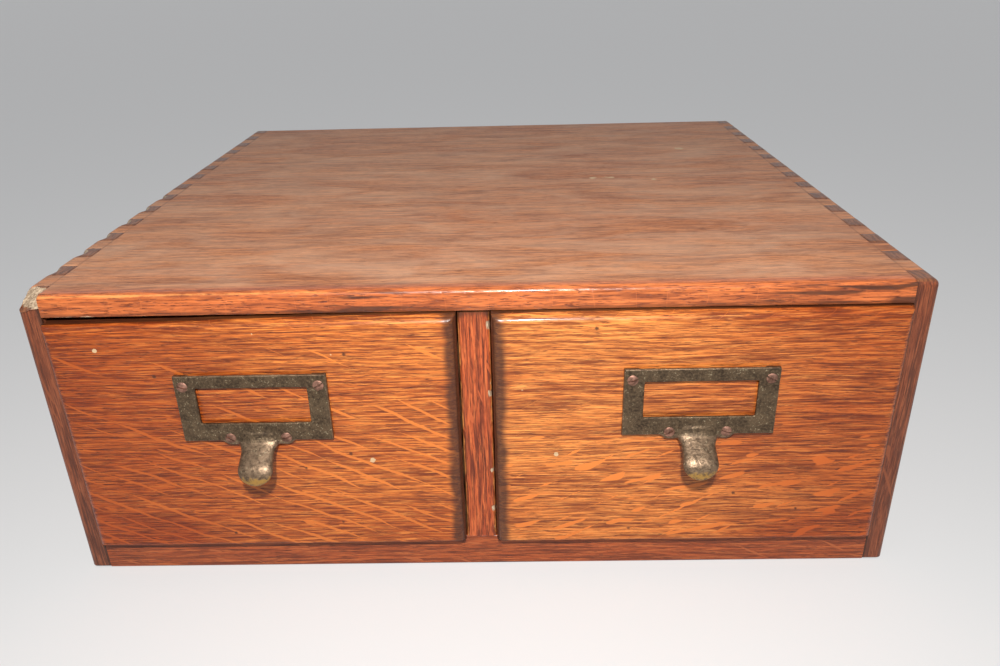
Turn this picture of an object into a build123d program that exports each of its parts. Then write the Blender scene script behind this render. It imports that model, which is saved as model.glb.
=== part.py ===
from build123d import *
from math import cos, radians, sin, tan
import os

# A desk-top card file: an oak case with finger-jointed corners and two card drawers side by side.
# Millimetres. X runs along the front, Y to the back, Z up. The origin is on the surface that the
# file stands on, under the middle of the whole object, thumb pulls included.

# ---- case ----
case_width = 420.0
case_height = 157.0
case_depth = 393.0
side_thickness = 10.5
top_thickness = 10.8
case_finger_count = 29          # odd, so that the first and last finger belong to the sides
case_edge_radius = 3.2          # worn outer edges of the case
case_arris_bevel = 1.9          # the two long upper edges, across the finger ends
side_lift = 1.2                 # the sides end this far above the underside of the rails
rail_height = 18.2
frame_thickness = 16.0          # stock of the rails and the stile, front to back
frame_edge_radius = 1.2
floor_thickness = 8.0
floor_dado = 4.0                # how far the floor is let into each side
back_thickness = 6.0
back_rabbet = 5.0
stile_width = 15.0
stile_top_gap = 1.0             # shrinkage gap over the stile
divider_thickness = 13.0
divider_groove = 3.0            # how far the divider is let into the floor and top
nail_width = 1.8                # square-cut nails, driven flush
nail_depth = 1.2
nail_head_width = 3.4
nail_head_height = 0.8
nail_length = 18.0
side_nail_count = 3
long_nail_count = 4
nail_clearance = 0.1
stop_width = 30.0
stop_depth = 10.0
stop_height = 24.0
stop_spacing = 120.0            # between the two stops of one drawer

# ---- drawers ----
drawer_side_gap = 0.5           # running gap on each side of a drawer
drawer_running_lift = 0.3       # gap between the drawer sides and the floor
drawer_stop_gap = 0.3
drawer_front_gap = 0.6          # above and below the drawer front
drawer_front_thickness = 19.0
drawer_face_proud = 6.5         # the drawer face stands this far in front of the case
face_edge_radius = 4.5          # rounded top and side edges of the face
face_lower_radius = 2.0
drawer_side_thickness = 9.5
drawer_side_drop = 12.0         # the sides end this far below the top of the front
drawer_side_edge_radius = 2.0
drawer_back_thickness = 9.0
drawer_finger_count = 7
dovetail_count = 4
dovetail_lap = 6.5              # wood left in front of the half-blind dovetails
dovetail_neck_share = 0.6       # narrow end of a tail as a share of the pitch
dovetail_slope = 1 / 7
bottom_thickness = 5.0
bottom_groove = 4.0
bottom_lift = 5.0               # drawer bottom above the lower edge of the drawer sides

# ---- cast pulls ----
plate_width = 72.0
plate_height = 35.2
plate_thickness = 2.4
plate_bevel = 0.4
plate_top_drop = 26.6           # top of the plate below the top of the drawer front
pull_offset = 1.5               # the pulls sit this far outside the middle of the drawer
window_width = 52.6
window_height = 18.9
window_top_border = 6.7
window_corner_radius = 0.8
label_recess_depth = 0.9
label_recess_lip = 2.4          # recess past the window at the sides and below
upper_screw_spacing = 63.9
upper_screw_drop = 5.6          # below the top edge of the plate
lower_screw_spacing = 27.0
lower_screw_rise = 1.6          # above the lower edge of the plate
ear_radius = 3.9
ear_fillet = 2.4
neck_width = 15.5
neck_fillet = 1.6
tongue_root_rise = 4.5          # the tongue starts this far above the lower edge of the plate
tongue_root_radius = 8.0        # hollow bend that leads out of the plate
tongue_slope = 54.0             # degrees from straight down
tongue_run = 9.6                # straight stretch between the two bends
tongue_nose_radius = 9.0        # round bend that leads down to the tip
tongue_tip_angle = -12.0        # the tip points back towards the drawer
tongue_stations = [0.0, 0.14, 0.27, 0.62, 0.73, 0.81, 0.88, 0.93, 0.97, 1.0]   # shares of the length
tongue_width = 15.6             # the tip is half a circle of this width
tongue_tip_flat = 0.93          # the half circle is cut off at this share of its radius
tongue_crown = 3.4              # thickness in the middle of the tongue
tongue_edge = 1.5               # thickness at its long edges
tongue_tip_crown = 1.8
screw_head_radius = 2.7
screw_head_dome = 0.7
screw_crown_radius = 1.5        # flat on top of the oval head
screw_shank_radius = 1.3
screw_length = 13.0             # from the face of the plate to the end of the shank
screw_tip_clearance = 0.6
screw_slot_width = 0.7
screw_slot_depth = 0.7
screw_hole_clearance = 0.12
screw_slot_angles = [18.0, -32.0, 40.0, -24.0]

# ---- followers ----
guide_top_width = 22.0
guide_foot_width = 16.0
guide_height = 9.0
guide_gap = 0.4                 # running gap between the guide and the cleats
follower_lift = 0.6             # the block runs this far above the guide
spring_gap = 0.3                # the spring's belly above the guide
follower_lean = 12.0            # degrees, top towards the back of the drawer
follower_block_width = 60.0
follower_block_length = 42.0
follower_block_height = 20.0
follower_block_shelf = 10.0     # flat top of the block
follower_block_heel = 8.0       # height of the block at its back end
follower_board_thickness = 7.0
follower_board_height = 86.0
follower_board_gap = 4.0        # between the board and each drawer side
follower_board_radius = 12.0    # rounded upper corners
follower_back_gap = 2.5         # behind the board when the follower is at the back
cleat_width = 14.0
spring_width = 10.0
spring_length = 30.0
spring_thickness = 0.6
spring_pocket_depth = 4.0
spring_pocket_margin = 1.0
follower_nail_spacing = 36.0

# ---- places that follow from the sizes above ----
inner_half_width = case_width / 2 - side_thickness
top_underside = case_height - top_thickness
floor_underside = rail_height - floor_thickness
bay_width = inner_half_width - stile_width / 2
bay_centre = stile_width / 2 + bay_width / 2
drawer_half_width = bay_width / 2 - drawer_side_gap
front_bottom = rail_height + drawer_front_gap
front_top = top_underside - drawer_front_gap
box_bottom = rail_height + drawer_running_lift
box_top = front_top - drawer_side_drop
drawer_inner_half_width = drawer_half_width - drawer_side_thickness
panel_underside = box_bottom + bottom_lift
panel_top = panel_underside + bottom_thickness
plate_centre_height = front_top - plate_top_drop - plate_height / 2


def slab(x0, x1, y0, y1, z0, z1):
    """A square-edged board between two corners."""
    size = (abs(x1 - x0), abs(y1 - y0), abs(z1 - z0))
    return Pos((x0 + x1) / 2, (y0 + y1) / 2, (z0 + z1) / 2) * Box(*size)


def rounded_section(width, height, radii):
    """A rectangle about the origin with its own radius at each corner, from lower left anticlockwise."""
    corners = [(-width / 2, -height / 2), (width / 2, -height / 2),
               (width / 2, height / 2), (-width / 2, height / 2)]
    section = make_face(Polyline(*corners, close=True))
    for corner, radius in zip(corners, radii):
        if radius > 0:
            vertex = section.vertices().sort_by_distance((corner[0], corner[1], 0))[0]
            section = fillet(vertex, radius)
    return section


# ---------------------------------------------------------------- pulls

def tongue_path():
    """Stations down the thumb tongue: (out, down, lean from straight down, length left to the tip)."""
    slope = radians(tongue_slope)
    tip = radians(tongue_tip_angle)
    bend_length = tongue_root_radius * slope
    nose_length = tongue_nose_radius * (slope - tip)
    total = bend_length + tongue_run + nose_length
    bend_out = tongue_root_radius * (1 - cos(slope))
    bend_down = tongue_root_radius * sin(slope)
    run_out = bend_out + tongue_run * sin(slope)
    run_down = bend_down + tongue_run * cos(slope)
    stations = []
    for share in tongue_stations:
        along = share * total
        if along <= bend_length:
            turn = along / tongue_root_radius
            out = tongue_root_radius * (1 - cos(turn))
            down = tongue_root_radius * sin(turn)
        elif along <= bend_length + tongue_run:
            turn = slope
            out = bend_out + (along - bend_length) * sin(slope)
            down = bend_down + (along - bend_length) * cos(slope)
        else:
            turn = slope - (along - bend_length - tongue_run) / tongue_nose_radius
            out = run_out + tongue_nose_radius * (cos(turn) - cos(slope))
            down = run_down + tongue_nose_radius * (sin(slope) - sin(turn))
        stations.append((out, down, turn, total - along))
    return stations


def tongue_section(out, down, turn, to_tip):
    """One cross-section of the tongue: crowned in front, flat behind, square to its path."""
    tip_share = max(0.0, tongue_tip_flat - to_tip / (tongue_width / 2))
    half = tongue_width / 2 * (1 - tip_share ** 2) ** 0.5
    crown = tongue_crown + (tongue_tip_crown - tongue_crown) * tip_share ** 2
    edge = min(tongue_edge, crown * 0.6)
    back = -plate_thickness / 2
    outline = [Line((-half, back), (half, back)),
               Line((half, back), (half, back + edge)),
               ThreePointArc((half, back + edge), (0, back + crown), (-half, back + edge)),
               Line((-half, back + edge), (-half, back))]
    plane = Plane(origin=(0, -plate_thickness / 2 - out, tongue_root_height() - down),
                  x_dir=(1, 0, 0), z_dir=(0, sin(turn), cos(turn)))
    # the section's second axis points out of the drawer: z_dir x x_dir
    return plane * Rot(0, 0, 180) * make_face(outline)


def tongue_root_height():
    """Where the tongue starts, measured from the middle of the plate."""
    return -plate_height / 2 + tongue_root_rise


def screw_places():
    """Screw centres on the plate, from its middle: upper pair, then lower pair."""
    upper = plate_height / 2 - upper_screw_drop
    lower = -plate_height / 2 + lower_screw_rise
    return [(-upper_screw_spacing / 2, upper), (upper_screw_spacing / 2, upper),
            (-lower_screw_spacing / 2, lower), (lower_screw_spacing / 2, lower)]


def minor_arc(centre, radius, start, end):
    """The shorter arc of a circle between two points on it."""
    middle = centre + (start + end - centre * 2).normalized() * radius
    return ThreePointArc(start, middle, end)


def lower_edge_half():
    """Right half of the plate's lower edge: straight run, ear round the screw, hollow into the neck."""
    edge = -plate_height / 2
    ear = Vector(lower_screw_spacing / 2, edge + lower_screw_rise)
    ear_reach = ear_radius + ear_fillet
    outer_drop = ear.Y - edge + ear_fillet
    outer = Vector(ear.X + (ear_reach ** 2 - outer_drop ** 2) ** 0.5, edge - ear_fillet)
    neck_reach = ear_radius + neck_fillet
    neck_side = neck_width / 2
    inner_side = ear.X - neck_side - neck_fillet
    inner = Vector(neck_side + neck_fillet, ear.Y - (neck_reach ** 2 - inner_side ** 2) ** 0.5)
    on_edge = Vector(outer.X, edge)
    on_ear_outer = ear + (outer - ear).normalized() * ear_radius
    on_ear_inner = ear + (inner - ear).normalized() * ear_radius
    on_neck = Vector(neck_side, inner.Y)
    return [Line((plate_width / 2, edge), on_edge),
            minor_arc(outer, ear_fillet, on_edge, on_ear_outer),
            minor_arc(ear, ear_radius, on_ear_outer, on_ear_inner),
            minor_arc(inner, neck_fillet, on_ear_inner, on_neck),
            Line(on_neck, (0, inner.Y))]


def plate_outline():
    """Front view of the plate with its two screw ears and the neck of the tongue."""
    half = lower_edge_half()
    half += [Line((plate_width / 2, -plate_height / 2), (plate_width / 2, plate_height / 2)),
             Line((plate_width / 2, plate_height / 2), (0, plate_height / 2))]
    other = [mirror(edge, about=Plane.YZ) for edge in half]
    return make_face(half + other)


def screw_body(extra=0.0):
    """An oval-head screw along Y, its head on y = 0 and towards -Y; extra widens it to its own hole.

    The countersink is as deep as the plate, and the shank is plain, without its thread."""
    head = screw_head_radius + extra
    shank = screw_shank_radius + extra
    end = -screw_length - (screw_tip_clearance if extra else 0)
    outline = Polyline((head, 0), (screw_crown_radius, screw_head_dome), (0, screw_head_dome),
                       (0, end), (shank, end), (shank, -plate_thickness), close=True)
    upright = revolve(Plane.XZ * make_face(outline), Axis.Z)
    return Rot(90, 0, 0) * upright


def pull_screw(angle):
    """Oval-head screw with its slot turned by the angle."""
    slot_length = 3 * screw_head_radius
    slot = Pos(0, -screw_head_dome, 0) * Box(slot_length, 2 * screw_slot_depth, screw_slot_width)
    return screw_body() - Rot(0, angle, 0) * slot


def pull():
    """Cast label holder with its thumb tongue; the origin is the middle of the plate on the drawer face."""
    outline = Plane.XZ * plate_outline()
    plate = extrude(outline, amount=plate_thickness, dir=(0, -1, 0))
    rim = plate.faces().sort_by(Axis.Y)[0].outer_wire().edges()
    plate = chamfer(rim, plate_bevel)
    window_centre = plate_height / 2 - window_top_border - window_height / 2
    window_sheet = Plane.XZ * (Pos(0, window_centre)
                               * RectangleRounded(window_width, window_height, window_corner_radius))
    plate -= extrude(window_sheet, amount=plate_thickness, dir=(0, -1, 0))
    recess_half = window_width / 2 + label_recess_lip
    recess_bottom = window_centre - window_height / 2 - label_recess_lip
    plate -= slab(-recess_half, recess_half, -label_recess_depth, 0, recess_bottom, plate_height / 2)
    tongue = loft([tongue_section(*station) for station in tongue_path()], ruled=True)
    casting = plate + tongue
    for x, z in screw_places():
        casting -= Pos(x, -plate_thickness, z) * screw_body(screw_hole_clearance)
    return casting


# ---------------------------------------------------------------- the object's place along Y

pull_casting = pull()
pull_reach = -pull_casting.bounding_box().min.Y
overall_depth = pull_reach + drawer_face_proud + case_depth
case_front = overall_depth / 2 - case_depth
case_back = overall_depth / 2
face_front = case_front - drawer_face_proud
face_back = face_front + drawer_front_thickness
frame_back = case_front + frame_thickness
back_inner = case_back - back_thickness
box_back = back_inner - stop_depth - drawer_stop_gap
box_inner_back = box_back - drawer_back_thickness


# ---------------------------------------------------------------- case

def finger_boxes(first, count, start, pitch, make):
    """Every second finger of a joint, from the given one; make(a, b) gives the box from a to b."""
    boxes = [make(start + k * pitch, start + (k + 1) * pitch) for k in range(first, count, 2)]
    fingers = boxes[0]
    for box in boxes[1:]:
        fingers += box
    return fingers


def case_envelope():
    """The case as one block with its worn outer edges, which every outside board is trimmed to.

    The upright edges and the upper front and back edges are round; the long edges are bevelled."""
    half = case_width / 2
    block = slab(-half, half, case_front, case_back, 0, case_height)
    top_edges = block.faces().sort_by(Axis.Z)[-1].edges().filter_by(Axis.X)
    block = fillet(block.edges().filter_by(Axis.Z) + top_edges, case_edge_radius)
    corners = [(-half, 0), (half, 0), (half, case_height - case_arris_bevel),
               (half - case_arris_bevel, case_height), (case_arris_bevel - half, case_height),
               (-half, case_height - case_arris_bevel)]
    front_view = make_face(Polyline(*corners, close=True))
    return block & extrude(Plane.XZ * front_view, amount=case_depth, both=True)


def case_top_fingers(sign):
    """The fingers at one end of the top board."""
    pitch = case_depth / case_finger_count
    inner = sign * inner_half_width
    outer = sign * case_width / 2
    return finger_boxes(1, case_finger_count, case_front, pitch,
                        lambda a, b: slab(inner, outer, a, b, top_underside, case_height))


def case_top(envelope, divider, back_panel, nails):
    board = slab(-inner_half_width, inner_half_width, case_front, case_back, top_underside, case_height)
    board += case_top_fingers(-1) + case_top_fingers(1)
    return (board & envelope) - divider - back_panel - nails


def case_side(sign, envelope, floor, back_panel, nails):
    inner = sign * inner_half_width
    outer = sign * case_width / 2
    board = slab(inner, outer, case_front, case_back, side_lift, case_height)
    board -= case_top_fingers(sign)
    return (board & envelope) - floor - back_panel - nails


def case_floor():
    half = inner_half_width + floor_dado
    return slab(-half, half, frame_back, back_inner, floor_underside, rail_height)


def front_rail():
    section = rounded_section(frame_thickness, rail_height, [frame_edge_radius, 0, 0, frame_edge_radius])
    centre = Pos(0, case_front + frame_thickness / 2, rail_height / 2)
    return centre * extrude(Plane.YZ * section, amount=inner_half_width, both=True)


def back_rail():
    return slab(-inner_half_width, inner_half_width, case_back - frame_thickness, case_back,
                0, floor_underside)


def divider_stile():
    height = top_underside - stile_top_gap - rail_height
    section = rounded_section(stile_width, frame_thickness, [frame_edge_radius, frame_edge_radius, 0, 0])
    foot = Pos(0, case_front + frame_thickness / 2, rail_height)
    return foot * extrude(section, amount=height)


def divider_panel():
    half = divider_thickness / 2
    return slab(-half, half, frame_back, back_inner,
                rail_height - divider_groove, top_underside + divider_groove)


def back_panel_board():
    half = inner_half_width + back_rabbet
    return slab(-half, half, back_inner, case_back, floor_underside, top_underside + back_rabbet)


def nail(extra=0.0):
    """A square-cut nail along Y, its head at y = 0 and its point towards -Y; extra widens it to a hole."""
    shank = Box(nail_width + 2 * extra, nail_length, nail_depth + 2 * extra,
                align=(Align.CENTER, Align.MAX, Align.CENTER))
    head = Box(nail_head_width + 2 * extra, nail_head_height, nail_width + 2 * extra,
               align=(Align.CENTER, Align.MAX, Align.CENTER))
    return shank + head


def back_nail_places():
    """Nails round the back panel: down both sides, along the top, and along the edge of the floor."""
    side_x = inner_half_width + back_rabbet / 2
    top_z = top_underside + back_rabbet / 2
    floor_z = rail_height - floor_thickness / 2
    places = []
    for k in range(side_nail_count):
        height = rail_height + (top_underside - rail_height) * (k + 0.5) / side_nail_count
        places += [(-side_x, height), (side_x, height)]
    for k in range(long_nail_count):
        across = inner_half_width * (2 * (k + 0.5) / long_nail_count - 1)
        places += [(across, top_z), (across, floor_z)]
    return places


def back_nails(extra=0.0):
    return [Pos(x, case_back, z) * nail(extra) for x, z in back_nail_places()]


def drawer_stops():
    """Two blocks behind each drawer, on the floor against the back panel."""
    blocks = []
    for bay in (-bay_centre, bay_centre):
        for shift in (-stop_spacing / 2, stop_spacing / 2):
            middle = bay + shift
            blocks.append(slab(middle - stop_width / 2, middle + stop_width / 2,
                               back_inner - stop_depth, back_inner, rail_height, rail_height + stop_height))
    return blocks


# ---------------------------------------------------------------- drawers, drawn about x = 0

def dovetail_tails(sign):
    """The tails at the front end of one drawer side, which flare towards the face."""
    tip = face_front + dovetail_lap
    pitch = (box_top - box_bottom) / dovetail_count
    inner = sign * drawer_inner_half_width
    neck = pitch * dovetail_neck_share / 2
    flare = neck + (face_back - tip) * dovetail_slope
    tails = []
    for k in range(dovetail_count):
        middle = box_bottom + (k + 0.5) * pitch
        corners = [(face_back, middle - neck), (tip, middle - flare), (tip, middle + flare),
                   (face_back, middle + neck)]
        outline = make_face(Polyline(*corners, close=True))
        tails.append(Pos(inner, 0, 0) * extrude(Plane.YZ * outline, amount=sign * drawer_side_thickness))
    return tails


def drawer_bottom():
    half = drawer_inner_half_width + bottom_groove
    return slab(-half, half, face_back - bottom_groove, box_back, panel_underside, panel_top)


def drawer_back_fingers(sign):
    pitch = (box_top - panel_top) / drawer_finger_count
    inner = sign * drawer_inner_half_width
    outer = sign * drawer_half_width
    return finger_boxes(1, drawer_finger_count, panel_top, pitch,
                        lambda a, b: slab(inner, outer, box_inner_back, box_back, a, b))


def drawer_back():
    board = slab(-drawer_inner_half_width, drawer_inner_half_width, box_inner_back, box_back,
                 panel_top, box_top)
    return board + drawer_back_fingers(-1) + drawer_back_fingers(1)


def drawer_side(sign, bottom):
    """A drawer side with an eased upper edge, tails in front, and notches for the back."""
    height = box_top - box_bottom
    section = rounded_section(drawer_side_thickness, height,
                              [0, 0, drawer_side_edge_radius, drawer_side_edge_radius])
    middle = sign * (drawer_inner_half_width + drawer_side_thickness / 2)
    board = extrude(Plane.XZ * section, amount=box_back - face_back, dir=(0, 1, 0))
    board = Pos(middle, face_back, (box_top + box_bottom) / 2) * board
    for tail in dovetail_tails(sign):
        board += tail
    return board - drawer_back_fingers(sign) - bottom


def drawer_front(bottom, pull_shift):
    """The face is rounded along each edge and the roundings meet in a mitre at the corners."""
    height = front_top - front_bottom
    across = rounded_section(2 * drawer_half_width, drawer_front_thickness,
                             [face_edge_radius, face_edge_radius, 0, 0])
    upright = rounded_section(drawer_front_thickness, height, [face_lower_radius, 0, 0, face_edge_radius])
    place = Pos(0, face_front + drawer_front_thickness / 2, (front_top + front_bottom) / 2)
    board = extrude(across, amount=height / 2, both=True)
    board &= extrude(Plane.YZ * upright, amount=drawer_half_width, both=True)
    board = place * board
    for sign in (-1, 1):
        for tail in dovetail_tails(sign):
            board -= tail
    for x, z in screw_places():
        hole = screw_body(screw_hole_clearance)
        board -= Pos(x + pull_shift, face_front - plate_thickness, z + plate_centre_height) * hole
    return board - bottom


# ---------------------------------------------------------------- followers, drawn about x = 0

guide_top = panel_top + guide_height
follower_base = guide_top + follower_lift
board_top_reach = (follower_board_height + follower_board_thickness) * sin(radians(follower_lean))
follower_front = box_inner_back - follower_back_gap - max(board_top_reach, follower_block_length)


def follower_guide():
    """A dovetailed strip down the middle of the drawer bottom."""
    corners = [(-guide_foot_width / 2, panel_top), (guide_foot_width / 2, panel_top),
               (guide_top_width / 2, guide_top), (-guide_top_width / 2, guide_top)]
    outline = make_face(Polyline(*corners, close=True))
    strip = extrude(Plane.XZ * outline, amount=box_inner_back - face_back, dir=(0, 1, 0))
    return Pos(0, face_back, 0) * strip


def follower_cleat(sign):
    """The undercut cleat beside the guide, under the block."""
    inner_top = guide_top_width / 2 + guide_gap
    inner_foot = guide_foot_width / 2 + guide_gap
    outer = inner_top + cleat_width
    corners = [(sign * inner_foot, panel_top + guide_gap), (sign * outer, panel_top + guide_gap),
               (sign * outer, follower_base), (sign * inner_top, follower_base)]
    outline = make_face(Polyline(*corners, close=True))
    cleat = extrude(Plane.XZ * outline, amount=follower_block_length, dir=(0, 1, 0))
    return Pos(0, follower_front, 0) * cleat


def spring_pocket():
    middle = follower_front + follower_block_length / 2
    half_width = spring_width / 2 + spring_pocket_margin
    half_length = spring_length / 2 + spring_pocket_margin
    return slab(-half_width, half_width, middle - half_length, middle + half_length,
                follower_base, follower_base + spring_pocket_depth)


def follower_spring():
    """A flat spring bowed between the roof of its pocket and the guide."""
    middle = follower_front + follower_block_length / 2
    top = follower_base + spring_pocket_depth - spring_thickness
    belly = guide_top + spring_gap
    half = spring_length / 2
    lower = ThreePointArc((middle - half, top), (middle, belly), (middle + half, top))
    upper = ThreePointArc((middle + half, top + spring_thickness), (middle, belly + spring_thickness),
                          (middle - half, top + spring_thickness))
    ends = [Line(lower @ 1, upper @ 0), Line(upper @ 1, lower @ 0)]
    outline = make_face([lower, ends[0], upper, ends[1]])
    return extrude(Plane.YZ * outline, amount=spring_width / 2, both=True)


def lean_about_front():
    """Leans a piece back about the lower front edge of the block."""
    return Pos(0, follower_front, follower_base) * Rot(-follower_lean, 0, 0)


def follower_nails(extra=0.0):
    """Nails through the board into the block, square to the board."""
    height = follower_block_height / 2
    face = -follower_board_thickness
    return [lean_about_front() * Pos(x, face, height) * Rot(0, 0, 180) * nail(extra)
            for x in (-follower_nail_spacing / 2, follower_nail_spacing / 2)]


def follower_block():
    """The wedge that carries the leaning board."""
    height = follower_block_height
    lean = height * tan(radians(follower_lean))
    corners = [(0, 0), (follower_block_length, 0), (follower_block_length, follower_block_heel),
               (lean + follower_block_shelf, height), (lean, height)]
    outline = make_face(Polyline(*corners, close=True))
    block = extrude(Plane.YZ * outline, amount=follower_block_width / 2, both=True)
    block = Pos(0, follower_front, follower_base) * block - spring_pocket()
    for hole in follower_nails(nail_clearance):
        block -= hole
    return block


def follower_board():
    """The board that the cards lean on, with rounded upper corners."""
    width = 2 * (drawer_inner_half_width - follower_board_gap)
    radius = follower_board_radius
    section = rounded_section(width, follower_board_height, [0, 0, radius, radius])
    board = extrude(Plane.XZ * section, amount=follower_board_thickness, dir=(0, -1, 0))
    board = lean_about_front() * Pos(0, 0, follower_board_height / 2) * board
    for hole in follower_nails(nail_clearance):
        board -= hole
    return board


# ---------------------------------------------------------------- all pieces

def case_pieces():
    envelope = case_envelope()
    floor = case_floor()
    divider = divider_panel()
    panel = back_panel_board()
    holes = Compound(children=back_nails(nail_clearance))
    return {
        "case_top": case_top(envelope, divider, panel, holes),
        "case_side_left": case_side(-1, envelope, floor, panel, holes),
        "case_side_right": case_side(1, envelope, floor, panel, holes),
        "front_rail": front_rail(),
        "back_rail": back_rail(),
        "case_floor": floor - divider - holes,
        "case_back": panel - holes,
        "back_nails": Compound(children=back_nails()),
        "divider_stile": divider_stile(),
        "divider_panel": divider,
        "drawer_stops": Compound(children=drawer_stops()),
    }


def drawer_pieces(name, sign):
    """One drawer and its follower, moved into its bay."""
    bay = Pos(sign * bay_centre, 0, 0)
    pull_shift = sign * pull_offset
    pull_place = Pos(pull_shift, face_front, plate_centre_height)
    bottom = drawer_bottom()
    screws = [pull_place * Pos(x, -plate_thickness, z) * pull_screw(angle)
              for (x, z), angle in zip(screw_places(), screw_slot_angles)]
    local = {
        "drawer_front": drawer_front(bottom, pull_shift),
        "drawer_side_left": drawer_side(-1, bottom),
        "drawer_side_right": drawer_side(1, bottom),
        "drawer_back": drawer_back(),
        "drawer_bottom": bottom,
        "pull": pull_place * pull_casting,
        "pull_screws": Compound(children=screws),
        "follower_guide": follower_guide(),
        "follower_block": follower_block(),
        "follower_cleat_left": follower_cleat(-1),
        "follower_cleat_right": follower_cleat(1),
        "follower_board": follower_board(),
        "follower_spring": follower_spring(),
        "follower_nails": Compound(children=follower_nails()),
    }
    return {f"{name}_{key}": bay * piece for key, piece in local.items()}


pieces = case_pieces() | drawer_pieces("left", -1) | drawer_pieces("right", 1)
os.makedirs("parts", exist_ok=True)
for node, piece in pieces.items():
    export_step(piece, f"parts/{node}.step")
    print(f"{node}: volume {piece.volume:.1f}")
print(f"front of the case y = {case_front:.3f}, drawer face y = {face_front:.3f}, reach {pull_reach:.3f}")
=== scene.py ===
import math

import bmesh
import bpy
import numpy as np
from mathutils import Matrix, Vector


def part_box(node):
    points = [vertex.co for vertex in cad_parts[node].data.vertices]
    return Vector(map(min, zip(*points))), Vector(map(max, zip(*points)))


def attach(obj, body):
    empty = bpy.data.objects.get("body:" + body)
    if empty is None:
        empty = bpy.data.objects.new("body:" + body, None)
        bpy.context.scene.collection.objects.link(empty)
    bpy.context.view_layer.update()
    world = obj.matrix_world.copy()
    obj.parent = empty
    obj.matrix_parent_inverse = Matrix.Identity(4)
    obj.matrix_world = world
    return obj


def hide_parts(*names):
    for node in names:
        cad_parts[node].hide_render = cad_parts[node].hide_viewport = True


# An oak card file with two drawers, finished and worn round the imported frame.
# Metres, X along the front, Y to the back, Z up. Lengths are written in millimetres times mm.

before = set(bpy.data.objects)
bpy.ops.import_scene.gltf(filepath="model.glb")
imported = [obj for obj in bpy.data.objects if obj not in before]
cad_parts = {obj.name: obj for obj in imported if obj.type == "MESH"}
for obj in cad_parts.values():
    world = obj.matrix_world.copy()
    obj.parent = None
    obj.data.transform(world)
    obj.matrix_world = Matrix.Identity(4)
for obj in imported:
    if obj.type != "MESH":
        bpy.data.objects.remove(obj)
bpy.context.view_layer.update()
print("frame loaded:", len(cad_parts), "nodes")

mm = 0.001
openEnd = 1.0   # a box that reaches this far past a face isn't rounded there


def nodeBox(name):
    low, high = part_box(name)
    return np.array(low), np.array(high)


topLow, topHigh = nodeBox("case_top")
sideLow, sideHigh = nodeBox("case_side_left")
casePlaces = {
    "half": topHigh[0],            # half of the case's width
    "innerHalf": -sideHigh[0],
    "front": topLow[1],
    "back": topHigh[1],
    "top": topHigh[2],
    "topUnder": topLow[2],
}


# numbers and grids

def hashedCells(cells, seed):
    # one random number from 0 to 1 for each whole-numbered cell, by mixing the bits of its indices
    mixed = np.full(cells.shape[:-1], seed * 7919 + 12345, np.uint64)
    for axis in range(cells.shape[-1]):
        mixed = (mixed ^ cells[..., axis].astype(np.uint64)) * np.uint64(0x9E3779B97F4A7C15)
        mixed = mixed ^ (mixed >> np.uint64(29))
    return (mixed >> np.uint64(40)).astype(float) / float(1 << 24)


def smoothNoise(points, cell, seed):
    # value noise: random heights at the corners of a lattice, blended by 3t^2 - 2t^3 along each axis
    scaled = np.asarray(points, float) / np.asarray(cell, float)
    base = np.floor(scaled).astype(np.int64)
    part = scaled - base
    part = part * part * (3 - 2 * part)
    total = np.zeros(scaled.shape[:-1])
    for corner in np.ndindex(*(2,) * scaled.shape[-1]):
        step = np.array(corner)
        share = np.prod(np.where(step == 1, part, 1 - part), axis=-1)
        total += share * hashedCells(base + step, seed)
    return total


def layeredNoise(points, cell, seed, layers=3):
    # sum of value noises, each layer with half the cell and half the height of the one before
    total, weight = 0.0, 0.0
    for layer in range(layers):
        share = 0.5 ** layer
        total = total + share * smoothNoise(points, np.asarray(cell, float) * share, seed + 31 * layer)
        weight += share
    return total / weight


def eased(value, low, high):
    # 0 below low, 1 above high, and 3t^2 - 2t^3 between them
    t = np.clip((value - low) / (high - low), 0, 1)
    return t * t * (3 - 2 * t)


def spaced(low, high, step, edge=0.0, edgeStep=0.0):
    # positions from low to high about step apart, and about edgeStep apart within edge of both ends
    if edge <= 0:
        return np.linspace(low, high, max(1, round((high - low) / step)) + 1)
    nearLow = np.linspace(low, low + edge, max(1, round(edge / edgeStep)) + 1)
    middle = np.linspace(low + edge, high - edge, max(1, round((high - low - 2 * edge) / step)) + 1)
    nearHigh = np.linspace(high - edge, high, max(1, round(edge / edgeStep)) + 1)
    return np.concatenate([nearLow, middle[1:-1], nearHigh])


def blockGrid(counts):
    # the surface of a block of counts = (nx, ny, nz) grid places: the places (i, j, k) on its six
    # faces, each once, and the quads between neighbours, turned so that they face outwards
    places, quads, start = [], [], 0
    for axis in range(3):
        across, up = (axis + 1) % 3, (axis + 2) % 3
        a, b = np.meshgrid(np.arange(counts[across]), np.arange(counts[up]), indexing="ij")
        for end in (0, counts[axis] - 1):
            place = np.zeros(a.shape + (3,), int)
            place[..., axis], place[..., across], place[..., up] = end, a, b
            number = start + np.arange(a.size).reshape(a.shape)
            quad = np.stack([number[:-1, :-1], number[1:, :-1], number[1:, 1:], number[:-1, 1:]], -1)
            if end == 0:
                quad = quad[..., ::-1]
            places.append(place.reshape(-1, 3))
            quads.append(quad.reshape(-1, 4))
            start += a.size
    unique, inverse = np.unique(np.concatenate(places), axis=0, return_inverse=True)
    return unique, inverse.ravel()[np.concatenate(quads)]


def boardGrid(xs, ys, zs):
    # a block grid with its rows at xs, ys and zs
    place, quads = blockGrid((len(xs), len(ys), len(zs)))
    return place, np.stack([xs[place[:, 0]], ys[place[:, 1]], zs[place[:, 2]]], -1), quads


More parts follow.
